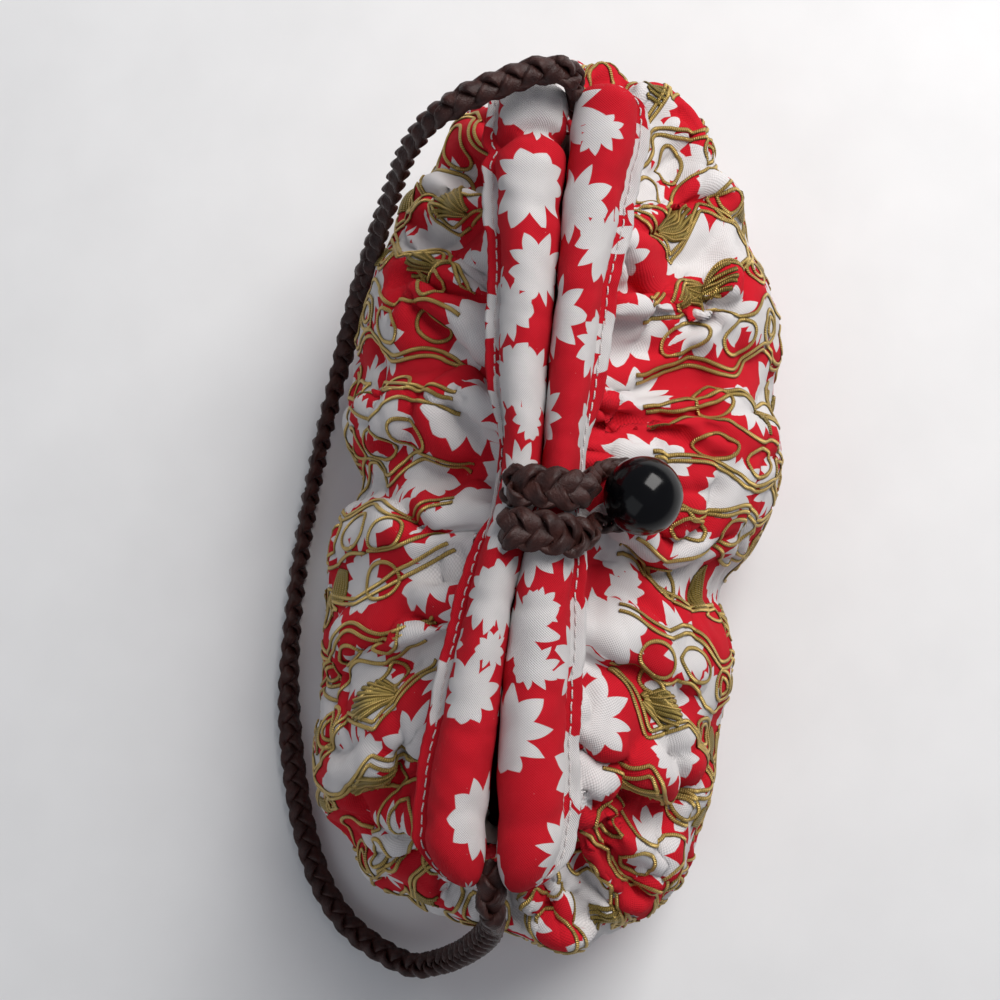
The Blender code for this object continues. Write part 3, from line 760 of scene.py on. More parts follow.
def pouch_points(rows, angle):
    """The pouch's outer surface at rows of its section table and at angles round it, as a grid of points."""
    stops = np.arange(len(POUCH_SECTIONS))
    height, length, width, gather, pull = (smooth_between(rows, stops, c)[:, None] for c in POUCH_SECTIONS.T)
    angle = angle[None, :]
    across, along = np.sin(angle), np.cos(angle)
    power = PLAN_SQUARENESS
    oblong = (np.abs(along) ** power + np.abs(across) ** power) ** (-1 / power) * plan_reach(angle)
    mouth_x = CASING_SHIFT + MOUTH_HALF_LENGTH * along
    rim_back, rim_front = casing_middle(1, mouth_x)[0], casing_middle(-1, mouth_x)[0]
    share = (1 + np.sign(across) * np.abs(across) ** MOUTH_ROUNDNESS) / 2
    mouth_y = rim_front + (rim_back - rim_front) * share
    x = POUCH_HALF_LENGTH * length * oblong * along
    y = POUCH_HALF_WIDTH * width * oblong * across
    depth = crease_depth(angle + 0 * height, gather + 0 * angle, 1 - height)
    keep = 1 - (FOLD_DEPTH * depth - PUFF_HEIGHT * gather) / np.hypot(x, y)
    x = x * keep * (1 - pull) + mouth_x * pull
    y = y * keep * (1 - pull) + mouth_y * pull
    z = MOUTH_HEIGHT * height - CREASE_SINK * depth * 4 * pull * (1 - pull)
    return np.stack([x, y, z], -1) + MIDDLE


def grid_normals(grid):
    """Outward normals of a wrapped grid, from the cross product of its two directions."""
    around = np.roll(grid, -1, axis=1) - np.roll(grid, 1, axis=1)
    up = np.gradient(grid, axis=0)
    return unit(np.cross(around, up))


def settle(cloth, held, frames):
    """Lets the cloth buckle into folds, held where held is 1, with no weight and a little air behind it."""
    group = cloth.vertex_groups.new(name="held")
    for weight in np.unique(held):
        if weight > 0:
            group.add(np.nonzero(held == weight)[0].tolist(), float(weight), "REPLACE")
    sim = cloth.modifiers.new("settle", "CLOTH")
    s = sim.settings
    s.quality = 5
    s.mass = 0.25
    s.tension_stiffness = s.compression_stiffness = 12
    s.shear_stiffness = 6
    s.bending_stiffness = CLOTH_STIFFNESS
    s.shrink_min = -CLOTH_GROWTH
    s.use_pressure = True
    s.uniform_pressure_force = CLOTH_AIR
    s.vertex_group_mass = "held"
    s.effector_weights.gravity = 0
    sim.collision_settings.use_collision = False
    sim.point_cache.frame_start = 1
    sim.point_cache.frame_end = frames
    scene = bpy.context.scene
    for frame_now in range(1, frames + 1):
        scene.frame_set(frame_now)
    graph = bpy.context.evaluated_depsgraph_get()
    settled = np.empty(len(cloth.data.vertices) * 3, np.float32)
    cloth.evaluated_get(graph).data.vertices.foreach_get("co", settled)
    cloth.modifiers.remove(sim)
    cloth.vertex_groups.remove(group)
    scene.frame_set(1)
    return settled.reshape(-1, 3).astype(float)


def capped(moved, normals):
    """The same moves, eased so that none goes out further than SWELL_LIMIT or in further than SINK_LIMIT:
    a move m along the normal becomes L·tanh(m/L), and one across it likewise."""
    out = (moved * normals).sum(-1, keepdims=True)
    across = moved - out * normals
    limit = np.where(out > 0, SWELL_LIMIT, SINK_LIMIT)
    slide = np.linalg.norm(across, axis=-1, keepdims=True)
    across = across / np.maximum(slide, 1e-9) * SINK_LIMIT / 2 * np.tanh(slide / (SINK_LIMIT / 2))
    return limit * np.tanh(out / limit) * normals + across


def fine_creases(uv):
    """Short valley folds in the pouch's unrolled plane, each -depth·exp(-(off/width)²)·exp(-(on/reach)²)."""
    rng = np.random.default_rng(12)
    u, v = uv[:, :-1, 0], uv[:, :-1, 1]
    round_all = uv[0, -1, 0]
    top = uv[-1, 0, 1]
    total = np.zeros_like(u)
    for _ in range(110):
        cu, cv = rng.uniform(0, round_all), rng.uniform(0.25, 0.98) * top
        lean = rng.normal(0, 0.42)
        reach, width = rng.uniform(0.008, 0.020), rng.uniform(0.0022, 0.0042)
        depth = rng.uniform(0.0010, 0.0030)
        du = (u - cu + round_all / 2) % round_all - round_all / 2
        dv = v - cv
        off = du * math.cos(lean) - dv * math.sin(lean)
        on = du * math.sin(lean) + dv * math.cos(lean)
        total -= depth * np.exp(-((off / width) ** 2) - (on / reach) ** 2)
    free = np.clip((top - v) / 0.012, 0, 1) * np.clip(v / 0.02, 0, 1)
    return total * free


def doubled(values, wraps):
    """A grid with a new row between each two, (-a + 9·b + 9·c - d)/16 of the four rows about it."""
    if wraps:
        before, after, after2 = np.roll(values, 1, 0), np.roll(values, -1, 0), np.roll(values, -2, 0)
    else:
        last = 2 * values[-1:] - values[-2:-1]
        after = np.concatenate([values[1:], last])
        after2 = np.concatenate([values[2:], last, 2 * last - values[-1:]])
        before = np.concatenate([2 * values[:1] - values[1:2], values[:-1]])
    between = (9 * (values + after) - before - after2) / 16
    woven = np.stack([values, between], 1).reshape(-1, *values.shape[1:])
    return woven if wraps else woven[:-1]


def crumple(grid, v):
    """Heights of gathers, of folds over them and of slanted pulls, A·(|sin π·s|^0.62 - 0.65), whose valleys
    are sharp. For gathers s counts them round the pouch, for folds it rises with v, and for pulls it does
    both. Soft hills bend s and change A from place to place."""
    share = np.arange(grid.shape[1])[None] / grid.shape[1]
    v = v[:, None]
    top = v.max()
    down = (top - v) / top

    def soft(seed, size):
        return hills(seed, *(grid[..., k] / size for k in range(3)))

    def ridges(s):
        return np.abs(np.sin(math.pi * s)) ** 0.62 - 0.65

    below = np.clip(down / 0.3, 0, 1)
    gathers = ridges(GATHERS * share + 0.95 * soft(5, 0.060) + 0.12 * soft(6, 0.030))
    deep = GATHER_DEPTH * np.exp(-(((down - 0.10) / 0.36) ** 2))
    deep = deep * np.clip(0.62 + 0.55 * soft(8, 0.035), 0.05, 1.2)
    folds = ridges(v / 0.036 + 1.35 * soft(7, 0.058) + 0.10 * soft(11, 0.030))
    shallow = CRUMPLE_DEPTH * np.clip(0.40 + 0.80 * soft(9, 0.045), 0, 1.2) * below
    pulls = ridges(19 * share + v / 0.040 + 0.9 * soft(13, 0.050))
    pulled = 0.6 * CRUMPLE_DEPTH * np.clip(0.1 + 0.9 * soft(15, 0.050), 0, 1.1) * below
    free = np.clip((top - v) / 0.007, 0, 1) * np.clip(v / 0.022, 0, 1)
    return (gathers * deep + folds * shallow + pulls * pulled) * free


def make_pouch(finish):
    """The printed cloth from the edge of the base up to the mouth."""
    rows = FIRST_SIDE_ROW + (len(POUCH_SECTIONS) - 1 - FIRST_SIDE_ROW) * np.linspace(0, 1, CLOTH_ROWS)
    angle = np.linspace(0, 2 * math.pi, CLOTH_COLUMNS, endpoint=False)
    grid = pouch_points(rows, angle)
    widest = grid[CLOTH_ROWS // 3]
    u = run_along(np.vstack([widest, widest[:1]]))
    v = np.concatenate([[0], np.cumsum(np.linalg.norm(np.diff(grid, axis=0), axis=2).mean(1))])
    uv = np.stack(np.broadcast_arrays(u[None], v[:, None]), -1)
    plain = grid
    creased = grid + grid_normals(grid) * fine_creases(uv)[..., None]
    faces = grid_faces(CLOTH_ROWS, CLOTH_COLUMNS, True)
    sheet = make_mesh("cloth", creased.reshape(-1, 3), faces, grid_uvs(uv), finish)
    held = np.zeros((CLOTH_ROWS, CLOTH_COLUMNS))
    held[:2] = held[-2:] = 1
    settled = settle(sheet, held.ravel(), SETTLE_FRAMES).reshape(grid.shape)
    bpy.data.objects.remove(sheet)
    near_base = np.clip(v / FIRM_EDGE, 0, 1)[:, None, None]
    grid = plain + capped(settled - plain, grid_normals(plain)) * near_base
    grid = doubled(doubled(grid, False).swapaxes(0, 1), True).swapaxes(0, 1)
    u, v = (np.interp(np.arange(2 * len(a) - 1) / 2, np.arange(len(a)), a) for a in (u, v))
    uv = np.stack(np.broadcast_arrays(u[None], v[:, None]), -1)
    grid = grid + grid_normals(grid) * crumple(grid, v)[..., None]
    grid[..., 2] = np.maximum(grid[..., 2], FLOOR_GAP)
    faces = grid_faces(*grid.shape[:2], True)
    return make_mesh("pouch_cloth", grid.reshape(-1, 3), faces, grid_uvs(uv), finish), grid, uv


def make_base(finish):
    """The flat bottom, slightly domed: rings of the first side row drawn in, c + (p - c)·share."""
    angle = np.linspace(0, 2 * math.pi, 160, endpoint=False)
    edge = pouch_points(np.array([FIRST_SIDE_ROW]), angle)[0]
    share = np.linspace(1.0, 0.02, 24)[:, None, None]
    middle = edge.mean(0)
    grid = middle + (edge - middle) * share
    grid[..., 2] = 0.0012 * (1 - share[..., 0] ** 6) * (1 - share[..., 0] ** 2)
    rings, around = grid.shape[:2]
    faces = np.vstack([grid_faces(rings, around, True), end_faces(rings, around)[1]])[:, ::-1]
    corners = grid.reshape(-1, 3)[faces.ravel(), :2]
    return make_mesh("pouch_base", grid.reshape(-1, 3), faces, corners, finish)


def make_binding(finish):
    """A folded edge sewn round the base: a flattened cord that stands on the floor at the side's foot."""
    angle = np.linspace(0, 2 * math.pi, 420)
    path = pouch_points(np.array([FIRST_SIDE_ROW]), angle)[0]
    outward = unit((path - path.mean(0)) * (1, 1, 0))
    path = path + outward * 0.0004
    path[:, 2] = BINDING_HEIGHT / 2 + FLOOR_GAP
    return join("base_binding", [tube(path, outward, oval(BINDING_HEIGHT, 0.0014, 10, 0.8))], finish)


def make_lining(grid, uv, finish):
    """The inside of the pouch: at each place the least reach of the cloth nearby, less the lining's gap."""
    middle = grid.mean((0, 1)) * (1, 1, 0)
    away = grid - middle
    reach = np.hypot(away[..., 0], away[..., 1])
    least = reach.copy()
    # The least reach spreads to its neighbours, then is evened out without growing.
    for _ in range(7):
        around = np.minimum(np.roll(least, 2, 1), np.roll(least, -2, 1))
        least = np.minimum(least, around)
        least[1:] = np.minimum(least[1:], least[:-1])
        least[:-1] = np.minimum(least[:-1], least[1:])
    for _ in range(6):
        least = np.minimum((np.roll(least, 3, 1) + least + np.roll(least, -3, 1)) / 3, least + 0.0002)
    low = away[..., 2] - 0.001
    for _ in range(5):
        low = np.minimum(low, np.minimum(np.roll(low, 2, 1), np.roll(low, -2, 1)))
    top = uv[-1, 0, 1]
    near = np.clip((top - uv[:, :1, 1]) / 0.005, 0, 1)
    share = (near * (least - LINING_GAP) + (1 - near) * (reach - 0.0008)) / reach
    inner = middle + away * np.stack([share, share, 0 * share], -1)
    inner[..., 2] = np.maximum(near * low + (1 - near) * away[..., 2], 0.0006)
    inner, flat = (
        np.concatenate([a[:-1:LINING_ROW_STEP], a[-1:]])[:, ::LINING_COLUMN_STEP] for a in (inner, uv)
    )
    faces = grid_faces(inner.shape[0], inner.shape[1], True)[:, ::-1]
    corners = grid_uvs(flat).reshape(-1, 4, 2)[:, ::-1].reshape(-1, 2)
    return make_mesh("pouch_lining", inner.reshape(-1, 3), faces, corners, finish)


# Couched gold cords


def on_cloth(grid, uv, flat):
    """Points and normals on the cloth for places given as (u, v) in metres, blended from a face's corners."""
    normals = grid_normals(grid)
    u, v = uv[0, :, 0], uv[:, 0, 1]
    i = np.interp(flat[:, 1], v, np.arange(len(v)))
    j = np.interp(flat[:, 0] % u[-1], u, np.arange(len(u)))
    i0 = np.clip(i.astype(int), 0, len(v) - 2)
    j0 = j.astype(int)
    a, b = (i - i0)[:, None], (j - j0)[:, None]
    j0, j1 = j0 % grid.shape[1], (j0 + 1) % grid.shape[1]
    found = []
    for field in (grid, normals):
        low = field[i0, j0] * (1 - b) + field[i0, j1] * b
        high = field[i0 + 1, j0] * (1 - b) + field[i0 + 1, j1] * b
        found.append(low * (1 - a) + high * a)
    return found[0], unit(found[1])


def turned(points, degrees):
    """Flat points turned about the origin."""
    c, s = math.cos(math.radians(degrees)), math.sin(math.radians(degrees))
    return points @ np.array([[c, s], [-s, c]])


def ring(x, y, radius, squash, turn):
    """A closed oval: r·(cos, squash·sin), turned and put at (x, y)."""
    t = np.linspace(0, 2 * math.pi, 40)
    return turned(np.stack([radius * np.cos(t), radius * squash * np.sin(t)], 1), turn) + (x, y)


def drop(x, y, length, width, turn):
    """A drop-shaped loop from (x, y) and back: sin t·sin(t/2)^1.4 across and sin(t/2)^1.2 along."""
    t = np.linspace(0, 2 * math.pi, 44)
    p = np.stack([width / 2 * np.sin(t) * np.sin(t / 2) ** 1.4 * 1.25, length * np.sin(t / 2) ** 1.2], 1)
    return turned(p, turn) + (x, y)


def beside(line, away):
    """The same line moved sideways."""
    along = unit(np.gradient(line, axis=0))
    return line + np.stack([-along[:, 1], along[:, 0]], 1) * away


def motif():
    """One repeat of the couched cords, 88 by 104 mm: a wave y + rise·sin along its foot, two rising bands of
    wavy lines with a row of rings in each, drops and double lines with sharp bends between them, and a nested
    diamond."""
    foot = np.linspace(0, REPEAT_WIDTH, 60)
    lines = [np.stack([foot, 10 + 3 * np.sin(2 * math.pi * foot / REPEAT_WIDTH)], 1)]
    for points, doubled_line in (
        (((2, 18), (6, 32), (1, 46), (7, 60), (3, 75), (9, 90), (6, 103)), True),
        (((19, 16), (23, 30), (18, 45), (24, 60), (20, 74), (26, 89), (22, 103)), False),
        (((46, 20), (51, 34), (45, 48), (50, 63), (44, 77), (49, 90), (47, 103)), True),
        (((62, 18), (67, 33), (61, 49), (67, 64), (60, 78), (65, 91), (62, 103)), False),
    ):
        vine = curve_through(points, 1.0)
        lines += [vine, beside(vine, -CORD_SPACING)] if doubled_line else [vine]
    for x, y, radius, squash, inner in (
        (13, 26, 4.6, 1.25, 0), (13, 42, 5.0, 1.15, 1), (14, 58, 4.4, 1.3, 0), (13, 73, 5.0, 1.2, 0),
        (16, 88, 4.4, 1.2, 0), (57, 27, 4.8, 1.2, 0), (55, 44, 4.4, 1.3, 0), (57, 60, 5.0, 1.15, 1),
        (54, 76, 4.6, 1.2, 0), (57, 92, 4.2, 1.2, 0), (34, 30, 5.2, 1.1, 0), (76, 66, 5.4, 1.1, 1),
        (34, 86, 4.6, 1.2, 0),
    ):
        lines.append(ring(x, y, radius, squash, 20 * (x % 3)))
        if inner:
            lines.append(ring(x, y, radius - 2.1, squash, 20 * (x % 3)))
    for spot in ((34, 42, 13, 8, -20), (74, 82, 14, 8, 25), (78, 22, 13, 8, 15), (38, 66, 12, 7, 160)):
        lines.append(drop(*spot))
    for points in (
        ((28, 103), (37, 76), (31, 54), (40, 46)),
        ((70, 104), (83, 90), (75, 76), (86, 56), (78, 44)),
        ((70, 20), (84, 34), (71, 48)),
    ):
        bar = spaced(np.array(points, float), 1.0)
        lines += [bar, bar + (CORD_SPACING, 0.6)]
    for size in (1.0, 0.45):
        corners = np.array([(0, 7.5), (4.6, 0), (0, -7.5), (-4.6, 0), (0, 7.5)]) * size + (36, 16)
        lines.append(spaced(corners, 1.0))
    return [line / 1000 for line in lines]


def satin():
    """The close-laid patches of one repeat: two fans, whose cords lie at even turns about a foot, and two
    blocks of straight cords side by side."""
    lines = []
    along = np.linspace(0.12, 1, 12)[:, None]
    for foot, turn in (((33, 22), 8), ((78, 96), -164)):
        for k in range(-5, 6):
            lean = math.radians(k * 6.0 + turn)
            reach = 17 * (1 - 0.014 * k * k)
            lines.append(np.array(foot) + along * reach * (math.sin(lean), math.cos(lean)))
    for corner, turn in (((74, 52), 12), ((27, 66), -20)):
        for k in range(6):
            flat = np.stack([np.linspace(0, 8, 8), np.full(8, 1.25 * k)], 1)
            lines.append(turned(flat, turn) + corner)
    return [line / 1000 for line in lines]


def fan_ribs():
    """Five of the eleven cords of each fan again, to lie over it in the brighter thread."""
    return [line for k, line in enumerate(satin()[:22]) if k % 11 in (0, 2, 5, 8, 10)]


def make_gold(name, lines, profile, grid, uv, finish, lift=CORD_LIFT):
    """The lines repeated round the pouch, turned over every other time, as flattened cords on the cloth."""
    round_all, top = uv[0, -1, 0], uv[-1, 0, 1]
    wide = round_all / REPEATS
    stretch = np.array([wide / (REPEAT_WIDTH / 1000), (top - 0.024) / 0.106])
    strips = []
    for k in range(REPEATS):
        for line in lines:
            flat = line * stretch
            if k % 2:
                flat = flat * (-1, 1) + (wide, 0)
            flat = spaced(flat + (k * wide, 0.006), 0.0012)
            if len(flat) < 4:
                continue
            points, out = on_cloth(grid, uv, flat)
            strips.append(tube(points + out * lift, out, profile))
    return join(name, strips, finish)


# Casings


def casing_section():
    """A casing's section, as shares: across is a·half + b·hem and up is c·tall + d. It runs over the tube
    from the top of the hem round to its foot, then out along the hem's underside, round its edge and back
    along its top."""
    arc = np.radians(np.linspace(HEM_TOP_TURN, 360 + HEM_FOOT_TURN, 62))
    out, back = np.linspace(0.15, 0.92, 5), np.linspace(0.92, 0.12, 8)
    foot, top = math.radians(HEM_FOOT_TURN), math.radians(HEM_TOP_TURN)
    middle = (foot + top) / 2
    rows = [(math.cos(a), 0, math.sin(a), 0) for a in arc]
    rows += [(math.cos(foot), s, math.sin(foot), -0.0008 * s) for s in out]
    edge = ((1.0, foot * 0.85), (1.05, middle), (1.0, top * 1.5))
    rows += [(math.cos(middle), s, math.sin(a), -0.0008) for s, a in edge]
    rows += [(math.cos(top), s, math.sin(top), -0.0008 * s) for s in back]
    return np.array(rows).T


def make_casing(name, side, finish):
    """A padded tube with a thin sewn hem along its outer side and round ends: (x, y + side·across, z + up),
    both scaled by 1 + hills - folds - puckers. Each fold is depth·exp(-(off/width)²) of the girth, and the
    puckers follow the stitches. Returns the line and normals that the stitches follow too."""
    a, b, c, d = casing_section()
    steps = 330
    even = np.linspace(-1, 1, steps + 2)[1:-1]
    place = (np.sin(even * math.pi / 2) * 0.55 + even * 0.45)[::side]
    x = CASING_SHIFT + CASING_HALF_LENGTH * place
    y, z, half = casing_middle(side, x)
    half = half * CASING_PLUMPNESS
    tall = casing_half_height(side, x)
    rounding = np.where(place > 0, CASING_END_ROUND[1], CASING_END_ROUND[-1])
    from_end = np.minimum(1, CASING_HALF_LENGTH * (1 - np.abs(place)) / rounding)
    cap = (1 - (1 - from_end) ** 2.4)[:, None] ** 0.55
    y = y - side * CASING_END_DRAW * np.clip((-place - 0.86) / 0.14, 0, 1) ** 2
    hem = (HEM_WIDTH * casing_column(HEM, x))[:, None]
    across, upright = half[:, None] * a + hem * b, tall[:, None] * c + d + 0 * hem
    run, round_it = x[:, None] + 0 * across, np.arctan2(upright, across)
    scale = 1 + 0.045 * hills(3 + side, run / 0.034, np.cos(round_it) * 0.6)
    scale += 0.024 * hills(9 + side, run / 0.010 + round_it * 0.4, round_it * 0.7)
    for at, depth, width, slant in CASING_FOLDS[side]:
        off = (run - at - slant * np.sin(round_it - 0.4)) / width
        scale -= depth * np.exp(-(off**2)) * (1 - 0.5 * (b > 0))
    near = np.exp(-(((np.degrees(round_it) + 4) / 16) ** 2)) * (b == 0) + (b > 0)
    pucker = 0.5 - 0.5 * np.cos(2 * math.pi * run / STITCH_PITCH)
    scale -= near * (0.012 + 0.028 * pucker) * (1 - 0.6 * b)
    upright = upright + (b > 0.5) * 0.0004 * hills(21 + side, run / 0.013)
    across, upright = across * cap * scale, upright * cap * scale
    grid = np.stack([run, y[:, None] + side * across, z[:, None] + upright], -1) + MIDDLE
    quarter = grid[steps // 4]
    v = run_along(np.vstack([quarter, quarter[:1]])) * side
    uv = np.stack(np.broadcast_arrays(x[:, None], v[None]), -1)
    tips = [grid[0].mean(0), grid[-1].mean(0)]
    first = tips[0] + (grid[:1] - tips[0]) * CASING_TIP_SIZE
    last = tips[1] + (grid[-1:] - tips[1]) * CASING_TIP_SIZE
    grid_all = np.concatenate([first, grid, last])
    faces, corners = closed_tube(grid_all, np.concatenate([uv[:1], uv, uv[-1:]]))
    obj = make_mesh(name, grid_all.reshape(-1, 3), faces, corners, finish)
    order = np.argsort(x)
    return obj, grid[order, STITCH_COLUMN], grid_normals(grid)[order, STITCH_COLUMN]


def make_stitches(line, out):
    """A running stitch: short threads that dive at both ends, one every pitch."""
    run = run_along(line)
    strips = []
    profile = oval(0.00045, 0.00036, 6)
    for start in np.arange(0.004, run[-1] - 0.004, STITCH_PITCH):
        at = np.linspace(start, start + STITCH_PITCH * 0.80, 7)
        points = np.stack([np.interp(at, run, line[:, k]) for k in range(3)], 1)
        ways = unit(np.stack([np.interp(at, run, out[:, k]) for k in range(3)], 1))
        lift = 0.00034 - 0.00060 * (2 * np.linspace(0, 1, 7) - 1) ** 4
        strips.append(tube(points + ways * lift[:, None], ways, profile))
    return strips


# Leather


def folded_lace(width, height):
    """A flat lace folded on itself: a squared oval with a groove down the middle of both faces."""
    profile = oval(width, height, 18, 0.72)
    groove = 1 - 0.35 * np.exp(-((profile[:, 0] / (0.06 * width)) ** 2))
    return profile * np.stack([np.ones_like(groove), groove], 1)


def braid(path, out, width, thickness, pitch, lace, phase=0.0):
    """Three strands, each A·sin φ across and B·sin 2φ out of a path, where φ = 2π·run/pitch + k·2π/3. A
    strand banks outwards on top and inwards below, and narrows where it folds back at the edges."""
    path = np.asarray(path, float)
    run = run_along(path)
    along = unit(np.gradient(path, axis=0))
    out = unit(out - (out * along).sum(1, keepdims=True) * along)
    across = np.cross(out, along)
    width = np.broadcast_to(np.asarray(width, float), len(path))
    slim = np.clip(width / STRAP_WIDTH, 0.45, 1.0)
    reach = (width - lace[0] * slim * 0.80) / 2
    strips = []
    for k in range(3):
        turn = 2 * math.pi * (run / pitch + k / 3 + phase)
        rise = thickness * slim * np.sin(2 * turn)
        middle = path + across * (reach * np.sin(turn))[:, None] + out * rise[:, None]
        bank = STRAND_BANK * np.sin(2 * turn) * np.sin(turn)
        face = out * np.cos(bank)[:, None] + across * np.sin(bank)[:, None]
        folded = np.sin(turn) ** 6
        wide = slim * (1 + 0.05 * hills(31 + k, run / 0.009)) * (1 - 0.36 * folded)
        strips.append(tube(middle, face, folded_lace(*lace), wide, slim * (1 + 0.55 * folded)))
    return strips


def strap_frame():
    """The strap's path and the way that its broad face looks."""
    path = curve_through(STRAP_ROUTE, 0.0009) + MIDDLE
    along = unit(np.gradient(path, axis=0))
    steep = np.abs(along[:, 2:]) ** 3
    behind = unit(path * (0, 1, 0) + 1e-6)
    start = unit(np.array([0, 0, 1.0]) * (1 - steep) + steep * behind)
    out = unit(start - (start * along).sum(1, keepdims=True) * along)
    side = np.cross(out, along)
    share = run_along(path) / run_along(path)[-1]
    turn = np.radians(smooth_between(share, STRAP_TURNS[:, 0], STRAP_TURNS[:, 1]))[:, None]
    return path, out * np.cos(turn) + side * np.sin(turn)


def make_strap(finish):
    """The carrying strap, as a braid along its route. Returns its centreline too."""
    path, out = strap_frame()
    strips = braid(path, out, STRAP_WIDTH, 0.0013, STRAP_PITCH, (STRAND_WIDTH, STRAND_THICKNESS))
    return join("leather_strap", strips, finish), path


def make_strap_end(finish):
    """The strap's braid carried on over its bend and down between the casings, where it widens."""
    path, _ = strap_frame()
    start = path[0]
    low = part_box("strap_tab_right")[0].z
    heights = np.array([low, low + 0.009, low + 0.016, start[2] - 0.0045, start[2] - 0.0014])
    back = np.array([-0.0029, -0.0029, -0.0029, -0.0027, -0.0014])
    route = np.stack([start[0] + 0 * heights, start[1] + back, heights], 1)
    route = curve_through(np.vstack([route, path[:3]]), 0.0006)
    along = unit(np.gradient(route, axis=0))
    out = np.stack([0 * along[:, 0], -along[:, 2], along[:, 1]], 1)
    run = run_along(route)
    width = np.interp(route[:, 2], (start[2] - 0.012, start[2] - 0.001), (0.0125, STRAP_WIDTH))
    lace = (STRAND_WIDTH, STRAND_THICKNESS)
    overlap = run_along(path[:3])[-1]
    phase = (overlap - run[-1]) / STRAP_PITCH
    return join("leather_strap_end", braid(route, out, width, 0.0011, STRAP_PITCH, lace, phase), finish)


def make_loop(finish):
    """The closing loop as one braid that narrows to the part that goes round the ball's shank."""
    table = LOOP_ROUTE
    route = table[:, :3].copy()
    behind = np.maximum(route[:, 1] - LOOP_HUG, 0)
    route[:, 1] -= behind * LOOP_DRAW
    fine = curve_through(route, 0.0006)
    steps = np.arange(len(fine))
    nearest = [int(np.linalg.norm(fine - spot, axis=1).argmin()) for spot in route]
    facing = np.stack([np.interp(steps, nearest, table[:, k]) for k in (3, 4)], 1)
    out = unit(np.concatenate([np.zeros((len(fine), 1)), facing], 1))
    width = np.interp(steps, nearest, table[:, 5]) * LOOP_FULLNESS
    strips = braid(fine, out, width, 0.0012, LOOP_PITCH, (STRAND_WIDTH * 1.04, STRAND_THICKNESS * 0.9))
    return join("leather_loop", strips, finish)


def make_shank(finish):
    """The leather neck of the ball button: a lace wound round, r·(cos, sin) with a rise of its own width."""
    low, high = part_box("button_shank")
    middle = np.array((low + high) / 2)
    lean = unit(np.array(NECK_LEAN))
    side = unit(np.cross(lean, [1.0, 0, 0]))
    other = np.cross(lean, side)
    turn = np.linspace(0, 2 * math.pi * 3.5, 120)[:, None]
    radial = side * np.cos(turn) + other * np.sin(turn)
    path = middle + radial * 0.0017 + lean * np.linspace(-0.0024, 0.0024, 120)[:, None]
    return join("button_neck", [tube(path, radial, oval(0.0016, 0.0014, 8))], finish)


def make_ball(finish):
    """A ball in rings: radius·cos of the rise across and radius·sin of it up, from pole to pole."""
    low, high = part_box("ball_button")
    middle, radius = np.array((low + high) / 2), (high.z - low.z) / 2
    around, rings = 96, 50
    turn = np.linspace(0, 2 * math.pi, around, endpoint=False)
    rise = np.radians(np.linspace(-89.6, 89.6, rings))[:, None]
    level = np.sin(rise) + 0 * turn
    grid = np.stack([np.cos(rise) * np.cos(turn), np.cos(rise) * np.sin(turn), level], -1) * radius + middle
    share = np.linspace(0, 1, around + 1)[None]
    uv = np.stack(np.broadcast_arrays(share, np.linspace(0, 1, rings)[:, None]), -1)
    faces, corners = closed_tube(grid, uv)
    return make_mesh("black_ball", grid.reshape(-1, 3), faces, corners, finish)


# Stage


def make_stage():
    """A pale floor, soft daylight, a window and a weak fill. None of it belongs to the object."""
    floor, n, shader = new_material("pale floor", roughness=0.9)
    place = n.add("ShaderNodeTexCoord").outputs["Object"]
    tone = n.noise(place, 30.0, 3.0)
    n.put(shader.inputs["Base Color"], n.mix(tone, (0.74, 0.74, 0.74, 1), (0.82, 0.82, 0.82, 1)))
    mesh = bpy.data.meshes.new("floor")
    s = FLOOR_REACH
    mesh.from_pydata([(-s, -s, 0), (s, -s, 0), (s, s, 0), (-s, s, 0)], [], [(0, 1, 2, 3)])
    mesh.materials.append(floor)
    obj = bpy.data.objects.new("floor", mesh)
    bpy.context.scene.collection.objects.link(obj)
    world = bpy.data.worlds.new("soft daylight")
    world.use_nodes = True
    world.node_tree.nodes["Background"].inputs["Color"].default_value = (0.86, 0.90, 1.0, 1)
    world.node_tree.nodes["Background"].inputs["Strength"].default_value = 0.24
    bpy.context.scene.world = world
    bpy.context.scene.view_settings.view_transform = "Standard"
    for name, place, size, power, colour in (
        ("window", (0.62, -0.42, 0.85), (0.60, 0.80), 14.0, (1.0, 0.98, 0.96)),
        ("fill", (-0.9, 0.7, 1.1), (1.2, 1.2), 3.0, (0.92, 0.96, 1.0)),
    ):
        light = bpy.data.lights.new(name, "AREA")
        light.shape = "RECTANGLE"
        light.size, light.size_y = size
        light.energy = power
        light.color = colour
        lamp = bpy.data.objects.new(name, light)
        lamp.location = place
        lamp.rotation_mode = "QUATERNION"
        lamp.rotation_quaternion = (Vector((0, 0, 0.08)) - Vector(place)).to_track_quat("-Z", "Y")
        bpy.context.scene.collection.objects.link(lamp)


def make_camera():
    """The camera at the photograph's angle."""
    camera = bpy.data.objects.new("camera", bpy.data.cameras.new("camera"))
    camera.data.lens = CAMERA_LENS
    camera.data.sensor_width = 36
    camera.data.clip_start, camera.data.clip_end = 0.01, 20
    back = [-a for a in CAMERA_AHEAD]
    turn = Matrix((CAMERA_RIGHT, CAMERA_UP, back)).transposed()
    camera.rotation_mode = "QUATERNION"
    camera.rotation_quaternion = turn.to_quaternion()
    camera.location = CAMERA_PLACE
    bpy.context.scene.collection.objects.link(camera)
    bpy.context.scene.camera = camera


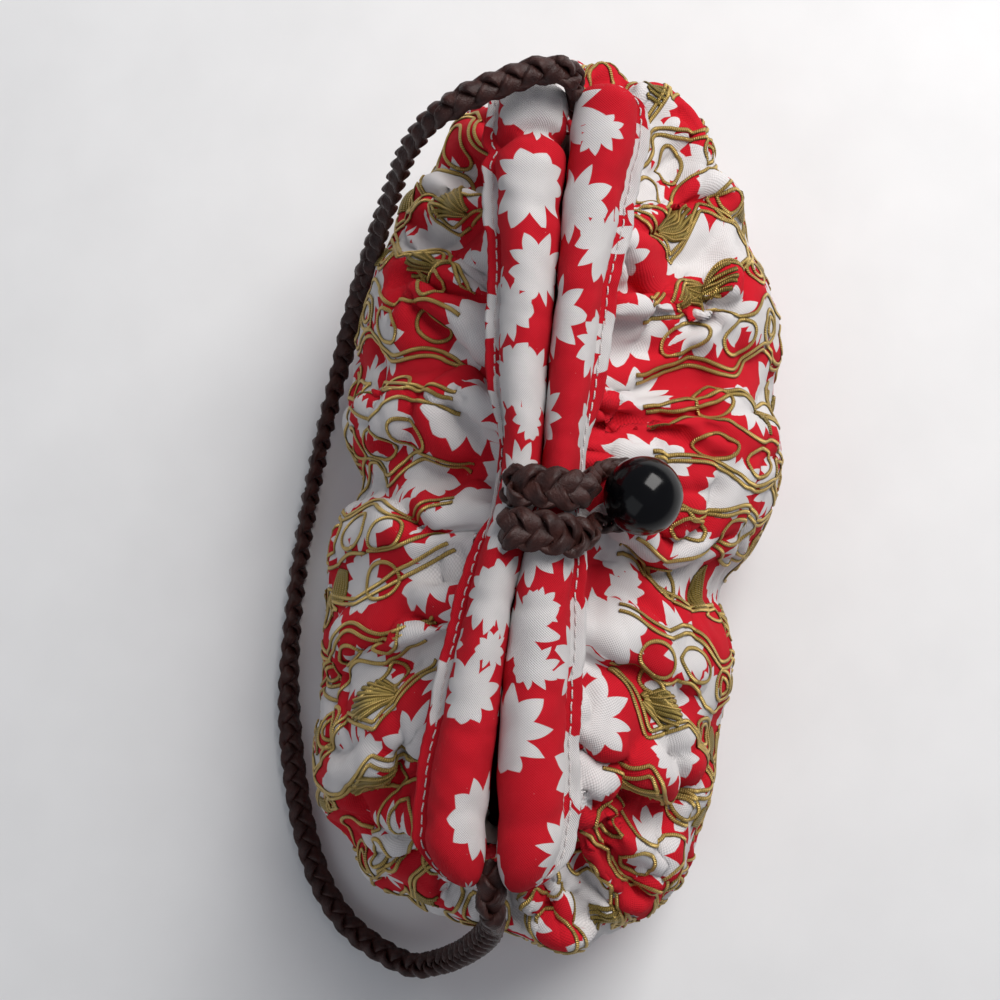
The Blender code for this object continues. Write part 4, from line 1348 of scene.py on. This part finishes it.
def main():
    """Loads the solids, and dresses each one."""
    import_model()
    make_camera()
    make_stage()
    cotton = printed_cloth_group()
    leather = leather_material("dark brown leather", (0.013, 0.0040, 0.0034), (0.058, 0.020, 0.016))
    # For each cord material, the first colour is its painted shade and the second its painted highlight.
    gold = gold_material("gold couched cord", (0.06, 0.038, 0.005, 1), (0.66, 0.46, 0.14, 1))
    olive = gold_material("olive satin thread", (0.045, 0.033, 0.005, 1), (0.36, 0.26, 0.065, 1))
    thread = thread_material()

    strap, path = make_strap(leather)
    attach(strap, "root")
    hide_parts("strap")

    pouch, grid, uv = make_pouch(cloth_material("printed cotton body", cotton, 0.0, 0.00014))
    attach(pouch, "root")
    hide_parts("pouch")
    plain = plain_cotton("plain cotton lining", (0.58, 0.55, 0.50, 1), (0.70, 0.67, 0.62, 1))
    red = plain_cotton("plain red cotton", (0.40, 0.006, 0.011, 1), (0.50, 0.010, 0.016, 1))
    cords = make_gold("gold_cords", motif(), oval(*GOLD_CORD, 6), grid, uv, gold)
    patches = make_gold("satin_patches", satin(), oval(*SATIN_CORD, 6), grid, uv, olive)
    ribs = make_gold("fan_ribs", fan_ribs(), oval(*RIB_CORD, 6), grid, uv, gold, RIB_LIFT)
    for piece in (cords, patches, ribs, make_base(red), make_binding(red), make_lining(grid, uv, plain)):
        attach(piece, "root")

    stitches = []
    for name, node, side, seed in (
        ("back_casing", "casing_back", 1, 0.31),
        ("front_casing", "casing_front", -1, 1.13),
    ):
        canvas = cloth_material(f"printed canvas {node}", cotton, seed, 0.00024)
        casing, line, out = make_casing(name, side, canvas)
        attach(casing, "root")
        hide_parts(node)
        stitches += make_stitches(line, out)
    sewn = join("casing_stitches", stitches, thread)
    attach(sewn, "root")

    loop = make_loop(leather)
    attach(loop, "root")
    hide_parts("closing_loop")
    end = make_strap_end(leather)
    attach(end, "root")
    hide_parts("strap_tab_right", "strap_tab_left")
    neck = make_shank(leather)
    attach(neck, "root")
    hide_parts("button_shank")
    ball = make_ball(ball_material())
    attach(ball, "root")
    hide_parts("ball_button")


main()
